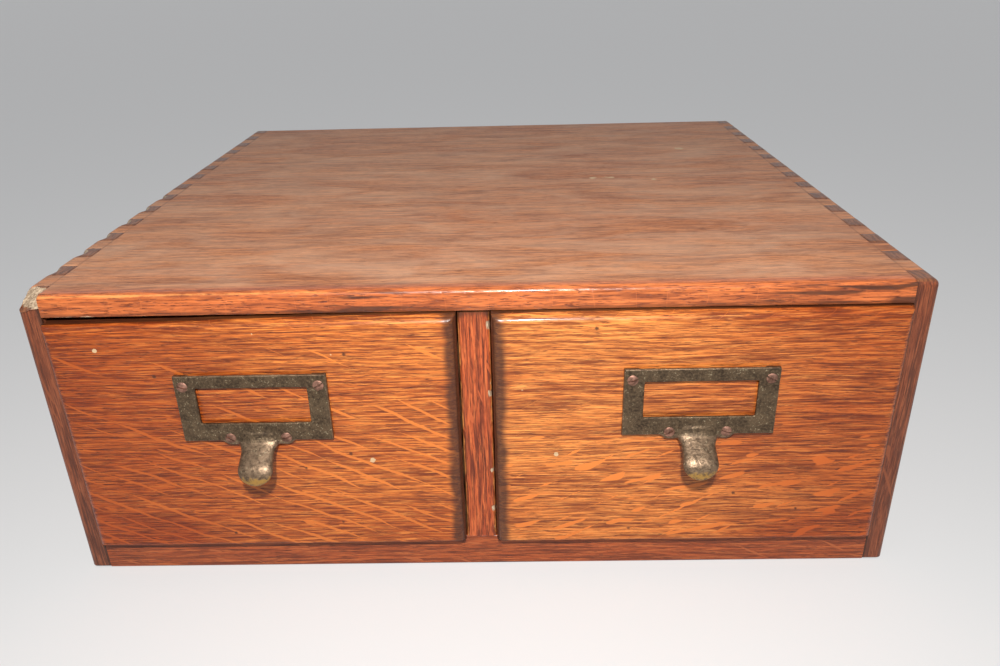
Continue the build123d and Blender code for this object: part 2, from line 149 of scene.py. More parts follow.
def intoRoundedBox(points, low, high, radius):
    # a point outside the box with rounded edges goes to q + r (p - q) / |p - q|, where q is the point
    # clamped into the box that is smaller by the radius r all round
    inner = np.clip(points, low + radius, high - radius)
    reach = points - inner
    length = np.linalg.norm(reach, axis=1)
    return inner + reach * np.where(length > radius, radius / np.maximum(length, 1e-12), 1.0)[:, None]


def addPiece(name, points, quads, attributes=None, sharp=40.0, merge=1e-6):
    # puts the arrays into a mesh, merges doubles, drops flat faces and shades it smooth
    mesh = bpy.data.meshes.new(name)
    mesh.vertices.add(len(points))
    mesh.vertices.foreach_set("co", np.asarray(points, np.float32).ravel())
    mesh.loops.add(quads.size)
    mesh.loops.foreach_set("vertex_index", quads.astype(np.int32).ravel())
    mesh.polygons.add(len(quads))
    mesh.polygons.foreach_set("loop_start", np.arange(0, quads.size, quads.shape[1], dtype=np.int32))
    for key, values in (attributes or {}).items():
        layer = mesh.attributes.new(key, "FLOAT", "POINT")
        layer.data.foreach_set("value", np.asarray(values, np.float32))
    mesh.update(calc_edges=True)
    shell = bmesh.new()
    shell.from_mesh(mesh)
    bmesh.ops.remove_doubles(shell, verts=shell.verts, dist=merge)
    bmesh.ops.dissolve_degenerate(shell, edges=shell.edges, dist=merge)
    shell.to_mesh(mesh)
    shell.free()
    mesh.shade_smooth()
    mesh.set_sharp_from_angle(angle=math.radians(sharp))
    piece = bpy.data.objects.new(name, mesh)
    bpy.context.scene.collection.objects.link(piece)
    return piece


def outwardFaces(piece):
    # turns every face of a closed piece outwards
    shell = bmesh.new()
    shell.from_mesh(piece.data)
    bmesh.ops.recalc_face_normals(shell, faces=shell.faces)
    shell.to_mesh(piece.data)
    shell.free()


def joinArrays(parts):
    # several (points, quads) as one, with the quads renumbered
    starts = np.cumsum([0] + [len(points) for points, quads in parts[:-1]])
    quads = np.concatenate([quads + start for (points, quads), start in zip(parts, starts)])
    return np.concatenate([points for points, quads in parts]), quads


def oakMarks(points, **known):
    # what the oak finishes read at each point: strength of each mark, none where it isn't given
    marks = {key: np.zeros(len(points)) for key in ("wear", "grime", "fleck", "raw", "faded", "glaze")}
    marks["speck"] = np.full(len(points), -1.0)
    marks.update(known)
    return marks


def finishPiece(piece, material, body, slot, *nodes):
    piece.data.materials.append(material)
    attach(piece, body)
    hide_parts(*nodes)
    return piece


# finishes

class Bench:
    # makes the nodes of one material or world and links them

    def __init__(self, owner):
        owner.use_nodes = True
        self.owner, self.tree = owner, owner.node_tree
        self.tree.nodes.clear()

    def plug(self, socket, value):
        if isinstance(value, bpy.types.NodeSocket):
            self.tree.links.new(value, socket)
        elif hasattr(socket.default_value, "__len__") and len(socket.default_value) == 4:
            socket.default_value = (*value[:3], 1.0)
        else:
            socket.default_value = value

    def add(self, kind, inputs=None, **settings):
        node = self.tree.nodes.new(kind)
        for key, value in settings.items():
            setattr(node, key, value)
        for key, value in (inputs or {}).items():
            self.plug(node.inputs[key], value)
        return node

    def math(self, operation, a, b=0.5, clamp=False):
        return self.add("ShaderNodeMath", {0: a, 1: b}, operation=operation, use_clamp=clamp).outputs[0]

    def plus(self, total, *others, clamp=False):
        for value in others:
            total = self.math("ADD", total, value, clamp)
        return total

    def minus(self, a, b):
        return self.math("SUBTRACT", a, b)

    def times(self, a, b):
        return self.math("MULTIPLY", a, b)

    def over(self, a, b):
        return self.math("DIVIDE", a, b)

    def larger(self, a, b):
        return self.math("MAXIMUM", a, b)

    def eased(self, value, low, high, top=1.0):
        # 0 below low and top above high, smooth between
        node = self.add("ShaderNodeMapRange", {"Value": value, "From Min": low, "From Max": high,
                                               "To Max": top}, interpolation_type="SMOOTHSTEP")
        return node.outputs[0]

    def mix(self, factor, a, b, blend="MIX"):
        node = self.add("ShaderNodeMix", {0: factor, 6: a, 7: b}, data_type="RGBA", blend_type=blend)
        return node.outputs[2]

    def layers(self, colour, *coats):
        # each coat (mask, colour) lies over the ones before it
        for mask, tint in coats:
            colour = self.mix(mask, colour, tint)
        return colour

    def noise(self, vector, scale, detail=2.0, roughness=0.5, distortion=0.0):
        # noise of the coordinates times scale, which is one number or one for each axis
        factors = scale if isinstance(scale, tuple) else (scale,) * 3
        stretched = self.add("ShaderNodeVectorMath", {0: vector, 1: factors}, operation="MULTIPLY").outputs[0]
        node = self.add("ShaderNodeTexNoise", {"Vector": stretched, "Scale": 1.0, "Detail": detail,
                                               "Roughness": roughness, "Distortion": distortion})
        return node.outputs[0]

    def coordinates(self, kind="Object"):
        return self.add("ShaderNodeTexCoord").outputs[kind]

    def split(self, vector):
        return self.add("ShaderNodeSeparateXYZ", {0: vector}).outputs

    def joined(self, x=0.0, y=0.0, z=0.0):
        return self.add("ShaderNodeCombineXYZ", {0: x, 1: y, 2: z}).outputs[0]

    def moved(self, vector, offset):
        return self.add("ShaderNodeVectorMath", {0: vector, 1: offset}, operation="ADD").outputs[0]

    def turned(self, vector, degrees):
        return self.add("ShaderNodeVectorRotate", {"Vector": vector, "Angle": math.radians(degrees)},
                        rotation_type="Z_AXIS").outputs[0]

    def attribute(self, name):
        return self.add("ShaderNodeAttribute", attribute_name=name).outputs["Fac"]

    def broken(self, name, noise, share, low, high, top=1.0):
        # an attribute with a share of noise added before it is eased, so that its edges break up
        return self.eased(self.plus(self.attribute(name), self.times(noise, share)), low, high, top)

    def seen(self):
        # 1 for the camera, in gloss and through glass; 0 for all other light
        rays = self.add("ShaderNodeLightPath").outputs
        seen = self.larger(rays["Is Camera Ray"], rays["Is Glossy Ray"])
        return self.larger(seen, rays["Is Transmission Ray"])

    def finish(self, inputs, height=None, reach=None):
        shader = self.add("ShaderNodeBsdfPrincipled", inputs)
        if height is not None:
            bump = self.add("ShaderNodeBump", {"Height": height, "Distance": reach, "Strength": 1.0})
            self.plug(shader.inputs["Normal"], bump.outputs[0])
        self.add("ShaderNodeOutputMaterial", {0: shader.outputs[0]})
        return self.owner


def grainPoint(bench, grain, shift):
    # object coordinates as (along the grain, across, depth), moved by its own shift for each finish
    split = bench.split(bench.coordinates())
    order = {"X": "XZY", "Y": "YXZ", "Z": "ZXY", "XT": "XYZ"}[grain]
    return bench.moved(bench.joined(*(split[axis] for axis in order)), (shift, 0.37 * shift, 0.71 * shift))


ray = {
    "waveScale": (22, 30, 0),
    "laneStep": 1.73,            # from the noise of one ray to that of the next
    "bandBias": 0.3,             # how much the fleck attribute widens a band, and grows a lens
    "lensBias": 0.12,
    "raggedScale": (240, 900, 900), "raggedLeast": 0.45,
    "bandBlur": 0.5 * mm, "lensSteepness": 22.0,
}


def rayField(bench, point, look):
    # medullary rays, above 0.5 inside one. Bands: wavy parallel lines, slanted to the grain, each as wide
    # as noise along it lets it be, so that it breaks into long strokes. Lenses: stretched noise, slanted
    bias = bench.attribute("fleck")
    turned = bench.turned(point, -look["raySlant"])
    wave = bench.noise(turned, ray["waveScale"])
    split = bench.split(turned)
    across = bench.plus(split["Y"], bench.times(bench.minus(wave, 0.5), look["rayWave"]))
    place = bench.over(across, look["rayPitch"])
    line = bench.math("ROUND", place)
    away = bench.times(bench.math("ABSOLUTE", bench.minus(place, line)), look["rayPitch"])
    lane = bench.joined(bench.times(split["X"], 1 / look["rayLength"]), bench.times(line, ray["laneStep"]))
    swell = bench.plus(bench.noise(lane, 1.0, 1.0), bench.times(bias, ray["bandBias"]))
    half = bench.eased(swell, look["rayEdge"] - 0.08, look["rayEdge"] + 0.12, look["rayHalf"])
    half = bench.times(half, bench.plus(ray["raggedLeast"], bench.noise(point, ray["raggedScale"])))
    bands = bench.plus(0.5, bench.over(bench.minus(half, away), ray["bandBlur"]))
    leaned = bench.turned(point, -look["lensSlant"])
    lenses = bench.plus(bench.noise(leaned, look["lensScale"], 0.6, 0.4), bench.times(bias, ray["lensBias"]))
    lenses = bench.plus(0.5, bench.times(bench.minus(lenses, look["lensEdge"]), ray["lensSteepness"]))
    return bench.larger(bands, lenses)


def oakFinish(name, look):
    # quarter-sawn oak: broad tone, then growth streaks, threads, glints and pores stretched along the
    # grain and calmer in the ray flecks; end grain where the surface faces along the grain; then marks
    bench = Bench(bpy.data.materials.new(name))
    point = grainPoint(bench, look["grain"], look["shift"])
    sway = bench.noise(point, (9, 26, 26))
    point = bench.moved(point, bench.joined(0.0, bench.times(bench.minus(sway, 0.5), look["sway"])))
    broad = bench.noise(point, (5, 30, 18), 3.0, 0.6)
    streak = bench.noise(point, look["streakScale"], 4.0, 0.62, 0.25)
    thread = bench.noise(point, look["threadScale"], 3.0, 0.6, 0.1)
    pores = bench.noise(point, look["poreScale"], 2.0, 0.6)
    fleckMask = bench.eased(rayField(bench, point, look), 0.2, 0.8)
    calm = bench.minus(1.0, bench.times(fleckMask, look["fleckCalm"]))
    streakMask = bench.times(bench.eased(streak, look["streakEdge"] - 0.1, look["streakEdge"] + 0.13,
                                         look["streakDepth"]), calm)
    threadMask = bench.times(bench.eased(thread, 0.48, 0.68, look["threadDepth"]), calm)
    glintMask = bench.times(bench.eased(thread, 0.52, 0.3, look["glintDepth"]), calm)
    poreMask = bench.times(bench.eased(pores, 0.55, 0.66, look["poreDepth"]), calm)
    colour = bench.layers(
        bench.mix(bench.eased(broad, 0.3, 0.7), look["mid"], look["pale"]),
        (streakMask, look["dark"]), (threadMask, look["dark"]), (glintMask, look["glint"]),
        (poreMask, look["pore"]), (bench.times(fleckMask, look["fleckDepth"]), look["fleck"]))

    facing = bench.split(bench.coordinates("Normal"))[look["grain"][0]]
    endMask = bench.eased(bench.math("ABSOLUTE", facing), 0.62, 0.8)
    rings = bench.noise(point, (40, 900, 160), 3.0, 0.6)
    endColour = bench.mix(bench.eased(rings, 0.35, 0.65), look["endDark"], look["endPale"])
    colour = bench.mix(endMask, colour, endColour)

    # darker old varnish, haze with a painted sheen, wear, grime with painted shade, bare wood and specks
    colour = bench.mix(bench.attribute("glaze"), colour, look["glaze"], "MULTIPLY")
    cloud = bench.noise(point, (14, 40, 40), 4.0, 0.65, 0.6)
    crumble = bench.noise(point, (260, 900, 900), 3.0, 0.65)
    faded = bench.attribute("faded")
    rawMask = bench.broken("raw", crumble, 0.6, 0.62, 0.95)
    rawColour = bench.mix(bench.eased(crumble, 0.3, 0.7), look["rawDark"], look["rawPale"])
    colour = bench.layers(
        colour,
        # a pale haze where the varnish is faded: partly dull old varnish, partly a painted sheen
        (bench.times(bench.eased(cloud, 0.25, 0.8, look["haze"]), faded), look["hazeColour"]),
        (bench.broken("wear", crumble, 0.5, 0.66, 0.95, 0.85), look["wornColour"]),
        # grime, and painted shade where the drawer fronts ask for it: a shadow line along the foot and the
        # shaded gap above the left front
        (bench.broken("grime", cloud, 0.45, 0.45, 1.05, 0.85), look["grimeColour"]),
        (rawMask, rawColour),
        (bench.broken("speck", crumble, 1.1, 0.8, 0.92), look["speckColour"]))

    roughness = bench.plus(look["roughness"], bench.times(cloud, look["roughSpread"]),
                           bench.times(faded, look["dull"]), bench.times(poreMask, 0.25),
                           bench.times(rawMask, 0.4), clamp=True)
    height = bench.plus(bench.times(streakMask, -0.5), bench.times(poreMask, -0.8),
                        bench.times(rawMask, crumble), bench.times(cloud, look["ripple"]))
    return bench.finish({"Base Color": colour, "Roughness": roughness, "Coat Weight": look["coat"],
                         "Coat Roughness": look["coatRoughness"], "Specular IOR Level": look["gloss"]},
                        height, look["relief"])


def oakLook(**changes):
    # the drawer fronts' finish, with the changes that another board asks for
    look = {
        "grain": "X", "shift": 0.0, "sway": 5 * mm,
        "streakScale": (22, 640, 330), "streakEdge": 0.50, "streakDepth": 0.78,
        "threadScale": (62, 1500, 1100), "threadDepth": 0.75, "glintDepth": 0.75,
        "poreScale": (170, 3200, 1800), "poreDepth": 0.8,
        "pale": (0.66, 0.185, 0.034), "mid": (0.50, 0.110, 0.018), "dark": (0.145, 0.024, 0.007),
        "glint": (0.86, 0.31, 0.065), "pore": (0.08, 0.017, 0.007),
        "fleck": (0.80, 0.25, 0.045), "fleckDepth": 0.42, "fleckCalm": 0.85,
        "raySlant": -26.0, "rayPitch": 7.6 * mm, "rayHalf": 0.75 * mm, "rayWave": 9 * mm,
        "rayLength": 34 * mm, "rayEdge": 0.46, "lensSlant": -12.0, "lensScale": (70, 420, 420),
        "lensEdge": 0.72, "glaze": (0.58, 0.36, 0.24),
        "endPale": (0.26, 0.095, 0.040), "endDark": (0.11, 0.036, 0.018),
        "haze": 0.0, "hazeColour": (0.45, 0.33, 0.26), "wornColour": (0.78, 0.31, 0.085),
        "grimeColour": (0.050, 0.017, 0.009), "rawDark": (0.24, 0.15, 0.09), "rawPale": (0.66, 0.50, 0.34),
        "speckColour": (0.60, 0.42, 0.24),
        "roughness": 0.27, "roughSpread": 0.12, "dull": 0.0, "gloss": 0.22, "coat": 0.24,
        "coatRoughness": 0.12, "relief": 0.10 * mm, "ripple": 0.5,
    }
    look.update(changes)
    return look


railTone = {"pale": (0.46, 0.105, 0.028), "mid": (0.34, 0.068, 0.018), "dark": (0.11, 0.022, 0.009),
            "glint": (0.52, 0.14, 0.04), "fleck": (0.42, 0.13, 0.045)}
stileTone = {"pale": (0.58, 0.115, 0.030), "mid": (0.42, 0.070, 0.020), "dark": (0.10, 0.018, 0.008),
             "glint": (0.66, 0.17, 0.05), "fleck": (0.46, 0.11, 0.036)}
sideTone = {"pale": (0.27, 0.070, 0.026), "mid": (0.18, 0.042, 0.017), "dark": (0.062, 0.016, 0.009),
            "glint": (0.34, 0.10, 0.04), "fleck": (0.28, 0.08, 0.03), "wornColour": (0.46, 0.17, 0.06)}
bareTone = {"pale": (0.60, 0.40, 0.21), "mid": (0.47, 0.29, 0.145), "dark": (0.30, 0.17, 0.085),
            "pore": (0.20, 0.11, 0.06), "fleck": (0.66, 0.46, 0.26), "glint": (0.64, 0.45, 0.25),
            "rayEdge": 0.72, "rayHalf": 0.7 * mm, "glintDepth": 0.4, "streakDepth": 0.5, "threadDepth": 0.4,
            "endPale": (0.40, 0.24, 0.13), "endDark": (0.24, 0.135, 0.075), "coat": 0.0,
            "roughness": 0.55, "relief": 0.16 * mm}
finishes = {
    "leftFace": oakFinish("oakLeftFace", oakLook(shift=0.0)),
    "rightFace": oakFinish("oakRightFace", oakLook(
        shift=3.1, pale=(0.78, 0.255, 0.055), mid=(0.64, 0.175, 0.034), glint=(0.90, 0.36, 0.09),
        fleck=(0.74, 0.215, 0.040), fleckDepth=0.85, fleckCalm=0.95, raySlant=27.0, rayPitch=11 * mm,
        rayHalf=0.9 * mm, rayLength=14 * mm, rayEdge=0.58, rayWave=6 * mm, lensSlant=15.0,
        lensScale=(52, 190, 190), lensEdge=0.665)),
    "top": oakFinish("oakTop", oakLook(
        grain="XT", shift=5.3, pale=(0.62, 0.225, 0.075), mid=(0.50, 0.155, 0.046), dark=(0.14, 0.038, 0.016),
        glint=(0.68, 0.26, 0.09), fleck=(0.52, 0.19, 0.07), haze=0.52, hazeColour=(0.74, 0.46, 0.30),
        roughness=0.24, dull=0.26, gloss=0.4, coat=0.1, sway=9 * mm, streakDepth=0.62,
        streakScale=(20, 330, 420), threadDepth=0.72, glintDepth=0.55, rayEdge=1.1, lensEdge=1.1,
        glaze=(1.12, 0.86, 0.70))),
    "side": oakFinish("oakSide", oakLook(grain="Z", shift=7.7, roughness=0.34, haze=0.12, rayEdge=0.66,
                                         hazeColour=(0.30, 0.17, 0.11), **sideTone)),
    "stile": oakFinish("oakStile", oakLook(grain="Z", shift=9.2, streakDepth=0.85, rayEdge=0.8,
                                           **stileTone)),
    "rail": oakFinish("oakRail", oakLook(shift=11.4, rayEdge=0.7, **railTone)),
    "bareX": oakFinish("oakBareX", oakLook(shift=13.1, **bareTone)),
    "bareY": oakFinish("oakBareY", oakLook(grain="Y", shift=15.8, **bareTone)),
    "bareZ": oakFinish("oakBareZ", oakLook(grain="Z", shift=17.9, **bareTone)),
}


brassLook = {
    "dark": (0.048, 0.031, 0.019), "light": (0.128, 0.086, 0.050), "dust": (0.20, 0.135, 0.078),
    "bronzeDark": (0.085, 0.054, 0.034), "bronzeLight": (0.30, 0.20, 0.125),
    "speck": (0.40, 0.33, 0.21), "gold": (0.46, 0.26, 0.055), "metallic": 0.78, "relief": 0.25 * mm,
}


def brassFinish(look):
    # cast brass under a dark brown patina, pitted, with small pale specks; handled parts are lighter, and
    # bare golden metal shows in patches where the wear is strongest
    bench = Bench(bpy.data.materials.new("castBrass"))
    point = bench.coordinates()
    cloud = bench.noise(point, 190, 4.0, 0.65, 0.8)
    fine = bench.noise(point, 900, 3.0, 0.6)
    specks = bench.noise(point, 1250, 1.0, 0.5, 0.4)
    patches = bench.noise(point, 520, 4.0, 0.7)
    handled = bench.eased(bench.attribute("wear"), 0.1, 0.45)
    bronze = bench.mix(bench.eased(patches, 0.3, 0.65), look["bronzeDark"], look["bronzeLight"])
    speckMask = bench.times(bench.eased(specks, 0.64, 0.70, 0.8), bench.eased(cloud, 0.42, 0.6))
    goldMask = bench.broken("wear", patches, 1.7, 1.50, 1.95, 0.8)
    colour = bench.layers(
        bench.mix(bench.eased(cloud, 0.32, 0.68), look["dark"], look["light"]),
        (bench.eased(fine, 0.4, 0.72, 0.6), look["dust"]), (bench.times(handled, 0.75), bronze),
        (speckMask, look["speck"]), (goldMask, look["gold"]))
    roughness = bench.plus(0.30, bench.times(fine, 0.3), bench.times(handled, -0.04))
    height = bench.plus(bench.times(fine, 0.6), bench.times(cloud, 0.8),
                        bench.times(bench.larger(speckMask, goldMask), 0.4))
    return bench.finish({"Base Color": colour, "Metallic": look["metallic"], "Roughness": roughness},
                        height, look["relief"])


def metalFinish(name, dark, light, roughness):
    # a small plain metal part with tarnish clouds and fine scratches
    bench = Bench(bpy.data.materials.new(name))
    point = bench.coordinates()
    cloud = bench.noise(point, 420, 3.0, 0.6)
    scratch = bench.noise(point, (300, 2600, 2600))
    return bench.finish({"Base Color": bench.mix(bench.eased(cloud, 0.3, 0.7), dark, light),
                         "Metallic": 0.85, "Roughness": bench.plus(roughness, bench.times(scratch, 0.25))},
                        scratch, 0.05 * mm)


finishes["brass"] = brassFinish(brassLook)
finishes["copper"] = metalFinish("copperScrew", (0.14, 0.070, 0.048), (0.40, 0.21, 0.15), 0.34)
finishes["steel"] = metalFinish("nailSteel", (0.10, 0.085, 0.075), (0.34, 0.31, 0.28), 0.4)
finishes["spring"] = metalFinish("springSteel", (0.25, 0.24, 0.23), (0.55, 0.54, 0.52), 0.25)
print("finishes made:", len(finishes))


# case: top board and sides with finger joints

joint = {
    "fingers": 29,
    "edgeRadius": 3.2 * mm,
    "steps": 5,                  # rows across the middle of a finger
    "cornerStep": 0.6 * mm,      # rows of the first and last finger
    "endStep": 1.1 * mm, "boardStep": 4.5 * mm, "nearEnd": 6 * mm, "nearStep": 1.2 * mm,
    "sideStep": 1.0 * mm, "sideRows": 3.5 * mm, "upperRows": 1.05 * mm, "upperHeight": 8 * mm,
    "groove": 0.22 * mm,         # depth of the fine line round each finger
    "grooveWidth": 0.4 * mm,
    "unevenness": 0.14 * mm,     # how far fingers differ in height
    "hairline": 0.001 * mm,      # closer than this to a plane counts as on it
    "chippedFingers": (2, 4, 6, 8, 10, 12),
    "chipDepth": 1.6 * mm,
    "chipNormal": np.array([-0.62, 0.0, 0.785]),   # out of the left side's upper arris
    "chipStart": 0.42,           # of the arris's radius, inwards from the square corner
    "ragged": 2.2 * mm,          # unevenness of the break
    "freshDepths": (8 * mm, 5 * mm),   # the break is old and dark below the first, bare above the second
    "brokenDrop": 9.0 * mm,      # at the outer front corner
    "brokenRise": (0.28, 0.56),  # slopes of the break towards the middle and the back
}


def fingerRows():
    # rows along Y, doubled where two fingers meet: their places, their finger, and whether they meet one
    pitch = (casePlaces["back"] - casePlaces["front"]) / joint["fingers"]
    edge = joint["grooveWidth"]
    places, fingers, ends = [], [], []
    for finger in range(joint["fingers"]):
        inside = spaced(edge, pitch - edge, (pitch - 2 * edge) / joint["steps"])
        if finger in (0, joint["fingers"] - 1):
            inside = spaced(edge, pitch - edge, joint["cornerStep"])
        rows = np.concatenate([[0.0], inside, [pitch]])
        places.append(casePlaces["front"] + finger * pitch + rows)
        fingers.append(np.full(len(rows), finger))
        ends.append(np.isin(np.arange(len(rows)), (0, len(rows) - 1)))
    ends[0][0] = ends[-1][-1] = False
    return np.concatenate(places), np.concatenate(fingers), np.concatenate(ends)


def caseBox():
    # the whole case, open below
    low = np.array([-casePlaces["half"], casePlaces["front"], -openEnd])
    return low, np.array([casePlaces["half"], casePlaces["back"], casePlaces["top"]])


def caseEdgeWear(points):
    # closeness to the outer arrises of the case, from 0 on the flats to 1 on the arris itself
    low, high = caseBox()
    radius = joint["edgeRadius"]
    inner = np.clip(points, low + radius, high - radius)
    reach = np.sort(np.abs(points - inner), axis=1)
    return np.clip(reach[:, 1] / (0.7 * radius), 0, 1)


topWear = {
    "ripple": 0.25 * mm, "rippleDrop": 0.13 * mm,
    # pairs: where a mark begins and where it is full, along the board, back from its front or upwards
    "leftEnd": (-150 * mm, 10 * mm), "farLeft": (-190 * mm, -60 * mm), "stain": (80 * mm, 190 * mm),
    "frontEdge": (2 * mm, 6 * mm), "faded": (4 * mm, 11 * mm), "glaze": (4 * mm, 9 * mm),
    "biteHeights": (150 * mm, 156 * mm), "lowEdge": (0.3 * mm, 1.4 * mm),
    "bite": 1.2 * mm, "dirtReach": 2 * mm, "dirtyFoot": 1.5 * mm, "stainTop": 156 * mm,
    "smear": -50 * mm, "smearReach": 30 * mm,
    # x, y and radius in millimetres
    "specks": [(146, 98, 5), (112, 6, 3), (72, 12, 3.4), (79, 14, 3.2), (86, 13, 3)],
}


def topBoard():
    # the board is a block grid; where a finger belongs to the sides, |x| is held to the inner width
    half, inner = casePlaces["half"], casePlaces["innerHalf"]
    edge = joint["grooveWidth"]
    outside = spaced(inner, half, joint["endStep"])
    middle = spaced(-inner + edge, inner - edge, joint["boardStep"], joint["nearEnd"], joint["nearStep"])
    xs = np.concatenate([-outside[::-1], middle, outside])
    ys, fingers, ends = fingerRows()
    zs = spaced(casePlaces["topUnder"], casePlaces["top"], joint["nearStep"])
    place, points, quads = boardGrid(xs, ys, zs)
    finger = fingers[place[:, 1]]
    onTop = place[:, 2] == len(zs) - 1
    overhang = np.abs(points[:, 0]) > inner - joint["hairline"]
    shut = (finger % 2 == 0) & overhang
    points[:, 0] = np.where(shut, np.sign(points[:, 0]) * inner, points[:, 0])
    points = intoRoundedBox(points, *caseBox(), joint["edgeRadius"])
    bulge = (hashedCells(np.stack([finger, (points[:, 0] > 0).astype(int)], -1), 5) - 0.6)
    tipped = overhang & ~shut
    outer = np.abs(points[:, 0]) > half - joint["hairline"]
    points[:, 0] -= np.sign(points[:, 0]) * np.where(outer, np.abs(bulge) * joint["unevenness"], 0)
    seam = (shut | (tipped & ends[place[:, 1]])) & onTop
    points[:, 2] -= np.where(seam, joint["groove"], 0)
    ripple = layeredNoise(points[:, :2], (60 * mm, 25 * mm), 3) - 0.5
    points[:, 2] += np.where(onTop, ripple * topWear["ripple"] - topWear["rippleDrop"], 0)

    # the front arris is rubbed bright, most of all near the left end, and has lost splinters there
    fromFront = points[:, 1] - casePlaces["front"]
    leftEnd = 1 - eased(points[:, 0], *topWear["leftEnd"])
    frontEdge = 1 - eased(fromFront, *topWear["frontEdge"])
    wear = np.clip(0.55 * caseEdgeWear(points) * (0.75 + 0.5 * leftEnd * frontEdge), 0, 1)
    rub = layeredNoise(points, (18 * mm, 6 * mm, 6 * mm), 11)
    wear *= 0.45 + 1.1 * rub
    bite = frontEdge * np.where(onTop, 1, 0.5) * (rub > 0.6) * leftEnd
    points[:, 2] -= bite * (rub - 0.6) * topWear["bite"] * eased(points[:, 2], *topWear["biteHeights"])
    seamDirt = 1 - np.clip(np.abs(np.abs(points[:, 0]) - inner) / topWear["dirtReach"], 0, 1)
    aboveUnder = points[:, 2] - casePlaces["topUnder"]
    grime = np.where(aboveUnder < topWear["dirtyFoot"], 0.5, 0.0) + 0.5 * seamDirt * onTop
    stain = eased(points[:, 0], *topWear["stain"])
    smear = np.exp(-(((points[:, 0] - topWear["smear"]) / topWear["smearReach"]) ** 2))
    streaks = eased(layeredNoise(points, (26 * mm, 9 * mm, 1.6 * mm), 8), 0.42, 0.66)
    grime += (1.3 * stain + 0.9 * smear) * frontEdge * streaks * (points[:, 2] < topWear["stainTop"])
    splinters = eased(layeredNoise(points, (9 * mm, 2 * mm, 2 * mm), 18), 0.5, 0.6)
    lowEdge = 1 - eased(aboveUnder, *topWear["lowEdge"])
    farLeft = 1 - eased(points[:, 0], *topWear["farLeft"])
    return points, quads, oakMarks(
        points, wear=wear, grime=grime, raw=0.5 * lowEdge * farLeft * frontEdge * splinters,
        speck=roundSpecks(points[:, :2], topWear["specks"]),
        faded=eased(fromFront, *topWear["faded"]) * onTop, glaze=1 - eased(fromFront, *topWear["glaze"]))


def roundSpecks(flat, spots):
    # 1 at the middle of each spot, falling to 0 at its radius and below 0 outside; spots in millimetres
    field = np.full(len(flat), -1.0)
    for x, y, radius in spots:
        distance = np.hypot(flat[:, 0] - x * mm, flat[:, 1] - y * mm)
        field = np.maximum(field, 1 - distance / (radius * mm))
    return np.clip(field, -1, 1)


sideWear = {
    "sink": 0.1 * mm, "dents": 0.2 * mm,
    "footDirt": (2 * mm, 26 * mm),   # full below the first height, gone above the second
    "innerDarkReach": 2.2 * mm, "frontRow": 1 * mm,
}


def sideBoard(sign):
    # a block grid on its edge; where a finger belongs to the top board, z is held under the top board
    half, inner = casePlaces["half"], casePlaces["innerHalf"]
    edge = joint["grooveWidth"]
    across = np.concatenate([[inner], spaced(inner + edge, half, joint["sideStep"])])
    xs = across if sign > 0 else -across[::-1]
    ys, fingers, ends = fingerRows()
    under = casePlaces["topUnder"]
    upper = under - joint["upperHeight"]
    zs = np.concatenate([spaced(sideLow[2], upper, joint["sideRows"], 4 * mm, 0.8 * mm)[:-1],
                         spaced(upper, casePlaces["top"], joint["upperRows"])])
    zs = np.sort(np.unique(np.append(zs[np.abs(zs - under) > 0.3 * mm], under)))
    place, points, quads = boardGrid(xs, ys, zs)
    finger = fingers[place[:, 1]]
    above = points[:, 2] > under - joint["hairline"]
    shut = (finger % 2 == 1) & above
    points[:, 2] = np.where(shut, under, points[:, 2])
    points = intoRoundedBox(points, *caseBox(), joint["edgeRadius"])
    onTop = (place[:, 2] == len(zs) - 1) & ~shut
    side = np.abs(points[:, 0])
    rise = hashedCells(np.stack([finger, np.full(len(finger), sign)], -1), 9)
    points[:, 2] -= np.where(onTop, rise * joint["unevenness"], 0)
    seam = ends[place[:, 1]] & above & ~shut
    points[:, 2] -= np.where(seam & onTop, joint["groove"], 0)
    points[:, 0] -= np.where(seam & (side > half - joint["hairline"]), sign * joint["groove"], 0)
    onInner = (place[:, 0] == (0 if sign > 0 else len(xs) - 1)) & onTop
    points[:, 2] -= np.where(onInner, joint["groove"], 0)

    raw = chipFingers(points, finger) if sign < 0 else np.zeros(len(points))
    # hollows worn into the outer face
    outer = side > half - joint["hairline"]
    dents = layeredNoise(points[:, 1:], (34 * mm, 30 * mm), 14) - 0.5
    points[:, 0] -= np.where(outer, sign * (sideWear["sink"] + dents * sideWear["dents"]), 0)
    rub = layeredNoise(points, (7 * mm, 14 * mm, 12 * mm), 16)
    wear = caseEdgeWear(points) * (0.2 + 0.9 * rub) * 0.8
    foot = 1 - eased(points[:, 2], *sideWear["footDirt"])
    frontRow = points[:, 1] < casePlaces["front"] + sideWear["frontRow"]
    # the front edge is darker next to the inner face
    inward = np.clip(1 - (side - inner) / sideWear["innerDarkReach"], 0, 1)
    grime = 0.35 * foot * rub + frontRow * inward * 0.85
    return points, quads, oakMarks(points, wear=wear, grime=grime, raw=raw, faded=np.ones(len(points)))


